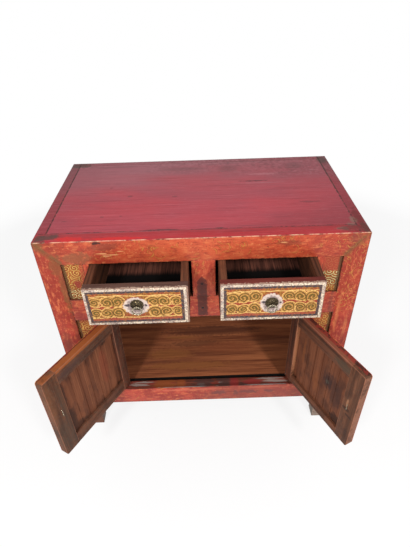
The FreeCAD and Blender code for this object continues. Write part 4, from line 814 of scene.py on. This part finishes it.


# The marks on a door's inside: their first distance is along the leaf, from its pivot. The pale
# lines among them, a few millimetres broad, are painted highlights along arrises and joints.
DOOR_MARKS = {
    ("left", "hinge_stile"): (
        ((36, 24, 20), 0.8, (28.5, 470, 3.5, 50)),
        ((58, 36, 28), 0.5, (2, 440, 12, 60)),
        ((214, 160, 126), 0.9, (18, 400, 2.2, 130), (36, 380, 2.4, 150)),
    ),
    ("left", "panel"): (
        ((138, 60, 40), 0.35, (72, 380, 18, 80)),
        ((150, 94, 62), 0.6, (90, 380, 1.4, 120), (118, 400, 1, 90), (152, 360, 1, 110),
         (180, 400, 1, 80)),
        ((46, 30, 24), 0.65, (236, 300, 18, 70), (225, 258, 50, 20), (52, 478, 14, 12),
         (240, 440, 8, 80)),
    ),
    ("left", "free_stile"): (
        ((124, 78, 50), 0.4, (285, 450, 14, 80)),
        ((76, 60, 48), 0.45, (272, 285, 30, 70), (255, 420, 8, 80)),
        ((152, 80, 34), 0.65, (280, 541, 36, 6)),
        ((150, 104, 80), 0.5, (301.5, 385, 1.4, 190)),
    ),
    ("left", "rails"): (
        ((152, 80, 34), 0.75, (110, 534, 190, 8)),
        ((74, 50, 44), 0.6, (200, 508, 60, 12)),
        ((116, 70, 52), 0.5, (70, 236, 40, 12)),
    ),
    ("right", "hinge_stile"): (
        ((60, 22, 16), 0.7, (-18, 472, 6, 12)),
        ((52, 28, 20), 0.6, (0, 400, 8, 80)),
        ((182, 120, 84), 0.85, (-11.5, 390, 2.2, 140), (-40, 380, 2, 150)),
    ),
    ("right", "panel"): (
        ((134, 76, 42), 0.6, (-50, 400, 6, 60), (-120, 330, 14, 50)),
        ((60, 38, 34), 0.6, (-178, 388, 36, 44), (-210, 360, 30, 60)),
        ((48, 32, 32), 0.6, (-170, 384, 18, 26)),
        ((82, 76, 66), 0.7, (-168, 380, 8, 10)),
        ((34, 22, 18), 0.75, (-226, 264, 30, 26)),
    ),
    ("right", "free_stile"): (
        ((176, 124, 90), 0.7, (-262, 392, 4, 22)),
        ((58, 40, 32), 0.75, (-262, 366, 16, 8), (-275, 346, 16, 5)),
        ((158, 108, 88), 0.65, (-301.5, 385, 1.6, 190)),
    ),
    ("right", "rails"): (
        ((62, 58, 46), 0.65, (-222, 508, 45, 16)),
        ((150, 82, 60), 0.5, (-110, 535, 180, 5)),
        ((150, 104, 84), 0.5, (-55, 256, 40, 1.6)),
    ),
}
# The paint on each door's top edge, and how far in from the outside it reaches (Y)
EDGE_PAINT = {"left": ((96, 38, 28), -0.006), "right": ((126, 42, 33), 0.003)}
# How grimy a door's frame is, and how much paler its free end
FRAME_GRIME = {"left": 0.55, "right": 0.25}
END_PALENESS = {"left": 0.0, "right": 0.6}
# How far out of the middle of a leaf the paint of its outside begins
PANEL_PAINT_AT = 0.008
FRAME_PAINT_AT = 0.011


def door_wood(hand, part, along, dark, light):
    """A door's wood: painted outside, bare inside. X runs along the leaf from its pivot."""
    spec = DOORS[hand]
    finish = Finish(f"{hand}_door_{part}_wood", (spec["pivot"], DOOR_PIVOT_Y, 0), spec["turn"])
    x, y, z = finish.x, finish.y, finish.z
    colour, fibre = wood_colour(finish, along, dark, light)
    noise = finish.noise(0.012, 4.0, 0.6)
    grime = finish.noise((0.05, 0.05, 0.09), 3.0)
    colour = tinted(colour, (58, 34, 26), grime, 0.48, 0.66, 0.55)
    if part != "panel":
        specks = ease(finish.noise(0.007, 4.0, 0.65), 0.48, 0.62, FRAME_GRIME[hand])
        colour = mix(specks, colour, (88, 70, 56))
    ragged = (noise - 0.5) * 1.2 + (fibre - 0.5) * 0.8
    colour = finish.marked(colour, ragged, upright(LEAF_INSIDE, DOOR_MARKS[hand, part]))
    if part == "free_stile":
        low, high = leaf_box(f"{hand}_door_free_stile", hand)
        end = max(-low[0], high[0])
        at_end = ease(abs(x), end - 0.0014, end - 0.0006, END_PALENESS[hand])
        at_end = at_end * ease(noise * 0.5 + grime * 0.5, 0.62, 0.46)
        colour = mix(at_end, colour, (146, 96, 74))
    edge = finish.edge_distance() + (noise - 0.5) * 0.003
    # the arrises are paler: partly rubbed wear and partly a painted highlight along them
    rubbed = ease(edge, 0.0022, 0.0006, 0.65)
    colour = mix(rubbed, colour, (152, 98, 74))
    # paint has run over the outer part of the top edge
    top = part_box(f"{hand}_door_free_stile")[1].z
    over = ease(z, top - 0.0014, top - 0.0006, 0.85)
    edge_paint, reached = EDGE_PAINT[hand]
    over = over * ease(y + (noise - 0.5) * 0.01, reached, reached - 0.002)
    chips = ease(noise, 0.47, 0.57, 0.9)
    colour = mix(over, colour, mix(chips, edge_paint, (48, 26, 21)))
    line = curls(finish, x, z, 0.03, 3.4)
    ochre = tinted((202, 138, 66), (122, 52, 34), line, 0.5, 0.3)
    red = tinted((158, 48, 38), (190, 74, 50), grime, 0.35, 0.65)
    if part == "panel":
        outside = tinted(ochre, red, noise, 0.62, 0.7, 0.7)
        begins = PANEL_PAINT_AT
    else:
        outside = tinted(red, ochre, grime + noise * 0.3, 0.62, 0.74, 0.7)
        begins = FRAME_PAINT_AT
    colour = tinted(colour, outside, y, -begins + 0.0008, -begins - 0.0004)
    return finish.surface(colour, 0.66 + fibre * 0.15, fibre, 0.0008, specular=0.2)


FLOOR_MARKS = (
    ((72, 40, 30), 0.5, (-40, 82, 110, 18), (30, 150, 200, 30)),
    ((150, 92, 48), 0.5, (-100, 118, 60, 8), (-140, 30, 90, 26), (-60, -30, 160, 20)),
    ((134, 70, 44), 0.5, (80, 60, 110, 30)),
)


def floor_wood():
    """The boards of the floor inside: reddish brown, in long streaks, with a painted shadow along
    their front edge.
    """
    finish = Finish("floor_wood")
    noise = finish.noise(0.012, 4.0, 0.6)
    colour, fibre = wood_colour(finish, "X", (104, 52, 32), (172, 102, 64))
    band = grain(finish, "X", 0.05, 0.6)
    colour = tinted(colour, (84, 44, 32), band, 0.5, 0.64, 0.5)
    colour = finish.marked(colour, (noise - 0.5) * 1.8, lying(FLOOR_Z, FLOOR_MARKS))
    # painted shadow: the front edge of the boards, in the gap behind the sill, is near black
    end = ease(finish.y, FLOOR_FRONT + 0.0018, FLOOR_FRONT + 0.0006)
    colour = mix(end, colour, NEAR_BLACK)
    return finish.surface(colour, 0.6 + fibre * 0.15, fibre, 0.0006, specular=0.25)


def drawer_floor(hand):
    """A drawer's bottom board: brown at the back, and near black behind the front, a painted
    shadow.
    """
    finish = Finish(f"{hand}_drawer_bottom_wood")
    colour, fibre = wood_colour(finish, "Y", (52, 28, 22), (132, 78, 62))
    back = finish.y - DRAWERS[hand]["front"] + (fibre - 0.5) * 0.02
    # painted shadow: near black for the part just behind the front
    colour = tinted(colour, NEAR_BLACK, back, 0.225, 0.195)
    return finish.surface(colour, 0.7 + fibre * 0.15, fibre, 0.0006, specular=0.2)


def brass(name, dull, bright, roughness):
    """Old brass, dark in patches and bare where hands have rubbed it."""
    finish = Finish(name)
    noise = finish.noise(0.003, 4.0, 0.6)
    rubbed = ease(noise, 0.42, 0.62)
    colour = mix(rubbed, dull, bright)
    return finish.surface(colour, roughness - rubbed * 0.18, noise, 0.0002, metallic=0.8)


# Pieces

MERGE_REACH = 1e-6
FLAT_ANGLE = math.radians(0.4)
ARRIS_ANGLE = math.radians(35)
# Where a foot is cut across (Z) and how much of its breadth is left there
FOOT_CUTS = ((0.0, 0.84), (0.0018, 0.94), (0.007, 1.0))
# How near to a cut a corner counts as lying on it
FOOT_REACH = 1e-4


def deselect():
    bpy.ops.object.select_all(action="DESELECT")


def make_active(piece):
    deselect()
    piece.select_set(True)
    bpy.context.view_layer.objects.active = piece


def copy_of(node, name):
    """A copy of a CAD node's mesh as a new piece, with its flat faces made whole."""
    make_active(frame["nodes"][node])
    bpy.ops.object.duplicate()
    piece = bpy.context.object
    piece.name = piece.data.name = name
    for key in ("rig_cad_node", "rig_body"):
        del piece[key]
    bpy.ops.object.mode_set(mode="EDIT")
    bpy.ops.mesh.select_all(action="SELECT")
    bpy.ops.mesh.remove_doubles(threshold=MERGE_REACH)
    bpy.ops.mesh.dissolve_limited(angle_limit=FLAT_ANGLE)
    bpy.ops.mesh.select_all(action="DESELECT")
    bpy.ops.object.mode_set(mode="OBJECT")
    piece.parent = None
    return piece


def modified(piece, kind, **settings):
    """Applies a modifier of that kind to the piece."""
    make_active(piece)
    modifier = piece.modifiers.new(kind.title(), kind)
    for key, value in settings.items():
        setattr(modifier, key, value)
    bpy.ops.object.modifier_apply(modifier=modifier.name)


def finished(piece, material, node):
    """Gives a piece its material and sets it on its body in place of the CAD node."""
    piece.data.materials.clear()
    piece.data.materials.append(material)
    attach(piece, body_of(frame["nodes"][node])[0])
    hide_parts(node)


def select_where(piece, test):
    """Selects the vertices that pass the test, in edit mode, and no others."""
    bpy.ops.mesh.select_all(action="DESELECT")
    bpy.ops.object.mode_set(mode="OBJECT")
    for vertex in piece.data.vertices:
        vertex.select = test(vertex.co)
    bpy.ops.object.mode_set(mode="EDIT")


def worn_foot(piece, node):
    """Rounds a post's foot: cuts it across near the floor and draws it in below the cuts."""
    low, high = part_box(node)
    middle = ((low.x + high.x) / 2, (low.y + high.y) / 2, 0)
    make_active(piece)
    bpy.ops.object.mode_set(mode="EDIT")
    bpy.ops.mesh.select_mode(type="VERT")
    for level, _ in FOOT_CUTS:
        if level:
            bpy.ops.mesh.select_all(action="SELECT")
            bpy.ops.mesh.bisect(plane_co=(0, 0, level), plane_no=(0, 0, 1))
    for level, scale in FOOT_CUTS:
        select_where(piece, lambda place: abs(place.z - level) < FOOT_REACH)
        bpy.ops.transform.resize(value=(scale, scale, 1), center_override=middle)
    bpy.ops.object.mode_set(mode="OBJECT")


def eased_member(node, material, width=0.001):
    """A wooden member with its arrises worn round, and a post's foot drawn in."""
    piece = copy_of(node, f"worn_{node}")
    if node.endswith("_post"):
        worn_foot(piece, node)
    modified(piece, "BEVEL", width=width, segments=2, limit_method="ANGLE",
             angle_limit=ARRIS_ANGLE, use_clamp_overlap=True)
    make_active(piece)
    bpy.ops.object.shade_smooth_by_angle(angle=ARRIS_ANGLE)
    finished(piece, material, node)


def kept(node, material):
    """A CAD node that stays as it is, with a material of its own."""
    solid = frame["nodes"][node]
    solid.data.materials.clear()
    solid.data.materials.append(material)


FRAME_MEMBERS = {
    "X": ("front_top_rail", "back_top_rail", "mid_rail"),
    "Y": ("left_top_rail", "right_top_rail", "left_bottom_rail", "right_bottom_rail"),
    "Z": ("front_left_post", "front_right_post", "back_left_post", "back_right_post",
          "centre_divider", "upper_jambs", "lower_jambs"),
}
INNER_WOOD = ("back_panel", "back_mid_rail", "back_bottom_rail", "top_battens",
              "floor_battens", "drawer_runners", "drawer_guides")


def dress_frame():
    eased_member("front_bottom_rail", fitted(frame_paint("X", sill=True), "front_bottom_rail"))
    for along, members in FRAME_MEMBERS.items():
        shared = frame_paint(along)
        for node in members:
            eased_member(node, fitted(shared, node))
    kept("top_panel", panel_lacquer("top_panel_lacquer"))
    for side in ("left", "right"):
        kept(f"{side}_side_panel", side_lacquer(side))
        for level in ("upper", "lower"):
            node = f"{side}_{level}_front_panel"
            kept(node, flank_panel(f"{node}_scrolls", side))
    inside = bare_wood("old_back_boards", "X", (48, 26, 18), (92, 54, 34))
    for node in INNER_WOOD:
        kept(node, inside)
    kept("floor_boards", floor_wood())


# What the old pulls have rubbed: middle X and Z on each drawer front, and half sizes.
# After them come how far the painted border is off the middle of the front, and the dark and
# light colours of the board's edges.
DRAWER_MARKS = {
    "left": ((-0.003, 0.064, 0.034, 0.03), -0.003, ((54, 32, 27), (100, 72, 62))),
    "right": ((-0.001, 0.058, 0.03, 0.034), 0.0, ((56, 22, 18), (116, 50, 42))),
}


def dress_drawers():
    for hand, marks in DRAWER_MARKS.items():
        sides = bare_wood(f"{hand}_drawer_side_wood", "Y", (52, 28, 18), (112, 66, 44))
        back = bare_wood(f"{hand}_drawer_back_wood", "Z", (34, 18, 14), (98, 56, 42))
        eased_member(f"{hand}_drawer_front", drawer_front(hand, *marks))
        eased_member(f"{hand}_drawer_sides", sides, 0.0008)
        eased_member(f"{hand}_drawer_back", back, 0.0008)
        kept(f"{hand}_drawer_bottom", drawer_floor(hand))


DOOR_WOODS = {
    "hinge_stile": ("Z", (64, 32, 20), (112, 60, 40)),
    "panel": ("Z", (96, 52, 32), (128, 76, 50)),
    "free_stile": ("Z", (76, 46, 32), (128, 82, 58)),
    "rails": ("X", (66, 38, 26), (126, 76, 52)),
}


def dress_doors():
    for hand in DOORS:
        for part, (along, dark, light) in DOOR_WOODS.items():
            node = f"{hand}_door_{part}"
            wood = fitted(door_wood(hand, part, along, dark, light), node, hand)
            if part == "panel":
                kept(node, wood)
            else:
                eased_member(node, wood)


# Pulls

RIM_STEPS = 72
NOTCHES = 12
# The radius outside which the notches are cut
RIM_START = 0.0174
# How many degrees from a notch's middle, and how much of the radius is left there
NOTCH_CUTS = ((0, 0.935), (5, 0.975))
# The plate's outside, from the edge of its hole to its rim and round to its back: radius, level
PLATE_PROFILE = (
    (0.0028, 0.0058), (0.0034, 0.0061), (0.0052, 0.0060), (0.0078, 0.0054), (0.0100, 0.0042),
    (0.0120, 0.0024), (0.0132, 0.0015), (0.0140, 0.0021), (0.0148, 0.0022), (0.0154, 0.0014),
    (0.0172, 0.0014), (0.0183, 0.0013), (0.0185, 0.0009), (0.0184, 0.0001), (0.0176, 0.0),
    (0.0060, 0.0), (0.0030, 0.0), (0.0028, 0.0004),
)


def from_notch(place):
    """How many degrees a place on the rim is from the nearest notch."""
    angle = math.degrees(math.atan2(place.y, place.x))
    step = 360 / NOTCHES
    return abs((angle + step / 2) % step - step / 2)


def pull_plate():
    """The domed plate with its beaded foot and notched rim, lying on the XY plane."""
    radius, level = PLATE_PROFILE[0]
    deselect()
    bpy.ops.mesh.primitive_circle_add(vertices=RIM_STEPS, radius=radius, location=(0, 0, level))
    plate = bpy.context.object
    bpy.ops.object.transform_apply()
    bpy.ops.object.mode_set(mode="EDIT")
    bpy.ops.mesh.select_mode(type="VERT")
    bpy.ops.mesh.select_all(action="SELECT")
    for next_radius, next_level in PLATE_PROFILE[1:] + PLATE_PROFILE[:1]:
        bpy.ops.mesh.extrude_edges_move(
            TRANSFORM_OT_translate={"value": (0, 0, next_level - level)})
        scale = next_radius / radius
        bpy.ops.transform.resize(value=(scale, scale, 1), center_override=(0, 0, 0))
        radius, level = next_radius, next_level
    bpy.ops.mesh.select_all(action="SELECT")
    bpy.ops.mesh.remove_doubles(threshold=MERGE_REACH)
    bpy.ops.mesh.normals_make_consistent(inside=False)
    for off, scale in NOTCH_CUTS:
        select_where(plate, lambda place: place.xy.length > RIM_START
                     and abs(from_notch(place) - off) < 1)
        bpy.ops.transform.resize(value=(scale, scale, 1), center_override=(0, 0, 0))
    bpy.ops.object.mode_set(mode="OBJECT")
    modified(plate, "SUBSURF", levels=1, render_levels=1)
    make_active(plate)
    bpy.ops.object.shade_smooth()
    return plate


def pull_place(hand, board):
    """Where the hole of a pull is and how the pull is turned: its Z points out of the face."""
    standing = Matrix.Rotation(math.radians(90), 4, "X")
    if board == "drawer":
        low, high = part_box(f"{hand}_drawer_plate")
        middle = (low + high) / 2
        return Matrix.Translation((middle.x, high.y, middle.z)) @ standing
    low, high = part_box(f"{hand}_door_plate")
    along = DOORS[hand]["side"] * DOOR_PULL_ALONG
    on_face = Matrix.Translation((along, -DOOR_FACE, (low.z + high.z) / 2))
    return leaf_place(hand) @ on_face @ standing


def smooth_wire(node, material):
    """A brass wire, rounded from the CAD node's facets."""
    piece = copy_of(node, f"rounded_{node}")
    modified(piece, "SUBSURF", levels=2, render_levels=2)
    make_active(piece)
    bpy.ops.object.shade_smooth()
    finished(piece, material, node)


def dress_pulls():
    dull = brass("old_brass_plate", (44, 36, 26), (104, 90, 62), 0.5)
    bright = brass("rubbed_brass_wire", (122, 112, 92), (206, 196, 172), 0.34)
    pattern = pull_plate()
    for hand in ("left", "right"):
        for board in ("drawer", "door"):
            make_active(pattern)
            bpy.ops.object.duplicate()
            plate = bpy.context.object
            plate.name = plate.data.name = f"domed_{hand}_{board}_plate"
            plate.matrix_world = pull_place(hand, board)
            bpy.ops.object.transform_apply()
            finished(plate, dull, f"{hand}_{board}_plate")
            for part in ("ring", "split_pin"):
                smooth_wire(f"{hand}_{board}_{part}", bright)
    make_active(pattern)
    bpy.ops.object.delete()


# Room, light and camera

FLOOR_REACH = 40.0
FLOOR_PAINT = (246, 246, 246)
FLOOR_SEEN_SHARE = 0.8
# Where the floor begins to fade into the white behind it, and where it has faded
FLOOR_FADE = (0.9, 2.2)
WHITE = (1, 1, 1, 1)
SKY_STRENGTH = 0.58
LAMP_AZIMUTHS = (-24, 27)
LAMP_HEIGHT = 37
LAMP_DISTANCE = 3.6
LAMP_BREADTH = 0.45
LAMP_WATTS = 57


def build_floor():
    deselect()
    bpy.ops.mesh.primitive_plane_add(size=FLOOR_REACH, location=(0, 0, 0))
    floor = bpy.context.object
    floor.name = "studio_floor"
    finish = Finish("pale_floor")
    rays = finish.node("ShaderNodeLightPath").outputs
    seen = most(*(Amount(finish, rays[f"Is {kind} Ray"])
                  for kind in ("Camera", "Glossy", "Transmission")))
    far = ease(finish.length(finish.place), *FLOOR_FADE)
    share = seen * most(far, FLOOR_SEEN_SHARE)
    pale = finish.node("ShaderNodeBsdfDiffuse", {}, {"Color": paint(*FLOOR_PAINT)})
    white = finish.node("ShaderNodeEmission", {}, {"Color": WHITE, "Strength": 1.0})
    shader = finish.node("ShaderNodeMixShader", {},
                         {0: share, 1: pale.outputs[0], 2: white.outputs[0]})
    finish.node("ShaderNodeOutputMaterial", {}, {"Surface": shader.outputs[0]})
    floor.data.materials.append(finish.material)


def light_room():
    world = bpy.data.worlds.new("studio")
    bpy.context.scene.world = world
    world.use_nodes = True
    tree = world.node_tree
    tree.nodes.clear()
    rays = node_in(tree, "ShaderNodeLightPath").outputs
    seen = node_in(tree, "ShaderNodeMath", {"operation": "MAXIMUM"},
                   {0: rays["Is Camera Ray"], 1: rays["Is Transmission Ray"]})
    soft = node_in(tree, "ShaderNodeBackground", {}, {"Color": WHITE, "Strength": SKY_STRENGTH})
    white = node_in(tree, "ShaderNodeBackground", {}, {"Color": WHITE})
    mixed = node_in(tree, "ShaderNodeMixShader", {},
                    {0: seen.outputs[0], 1: soft.outputs[0], 2: white.outputs[0]})
    node_in(tree, "ShaderNodeOutputWorld", {}, {"Surface": mixed.outputs[0]})


def hang_lamps():
    height = math.radians(LAMP_HEIGHT)
    for degrees in LAMP_AZIMUTHS:
        azimuth = math.radians(degrees)
        back = Vector((math.sin(azimuth) * math.cos(height),
                       -math.cos(azimuth) * math.cos(height), math.sin(height)))
        aim = Vector((0, 0, TOP_Z / 2))
        bpy.ops.object.light_add(type="AREA", location=aim + back * LAMP_DISTANCE)
        light = bpy.context.object
        light.rotation_euler = (-back).to_track_quat("-Z", "Y").to_euler()
        light.data.energy = LAMP_WATTS
        light.data.shape = "DISK"
        light.data.size = LAMP_BREADTH


def set_camera():
    bpy.ops.object.camera_add(location=CAMERA_PLACE)
    camera = bpy.context.object
    turn = Matrix.Identity(3)
    for axis, degrees in CAMERA_TURNS:
        turn = turn @ Matrix.Rotation(math.radians(degrees), 3, axis)
    camera.rotation_euler = turn.to_euler()
    camera.data.lens = CAMERA_LENS
    camera.data.sensor_width = CAMERA_SENSOR
    bpy.context.scene.camera = camera
    bpy.context.scene.view_settings.view_transform = "Standard"


dress_frame()
dress_drawers()
dress_doors()
dress_pulls()
build_floor()
light_room()
hang_lamps()
set_camera()
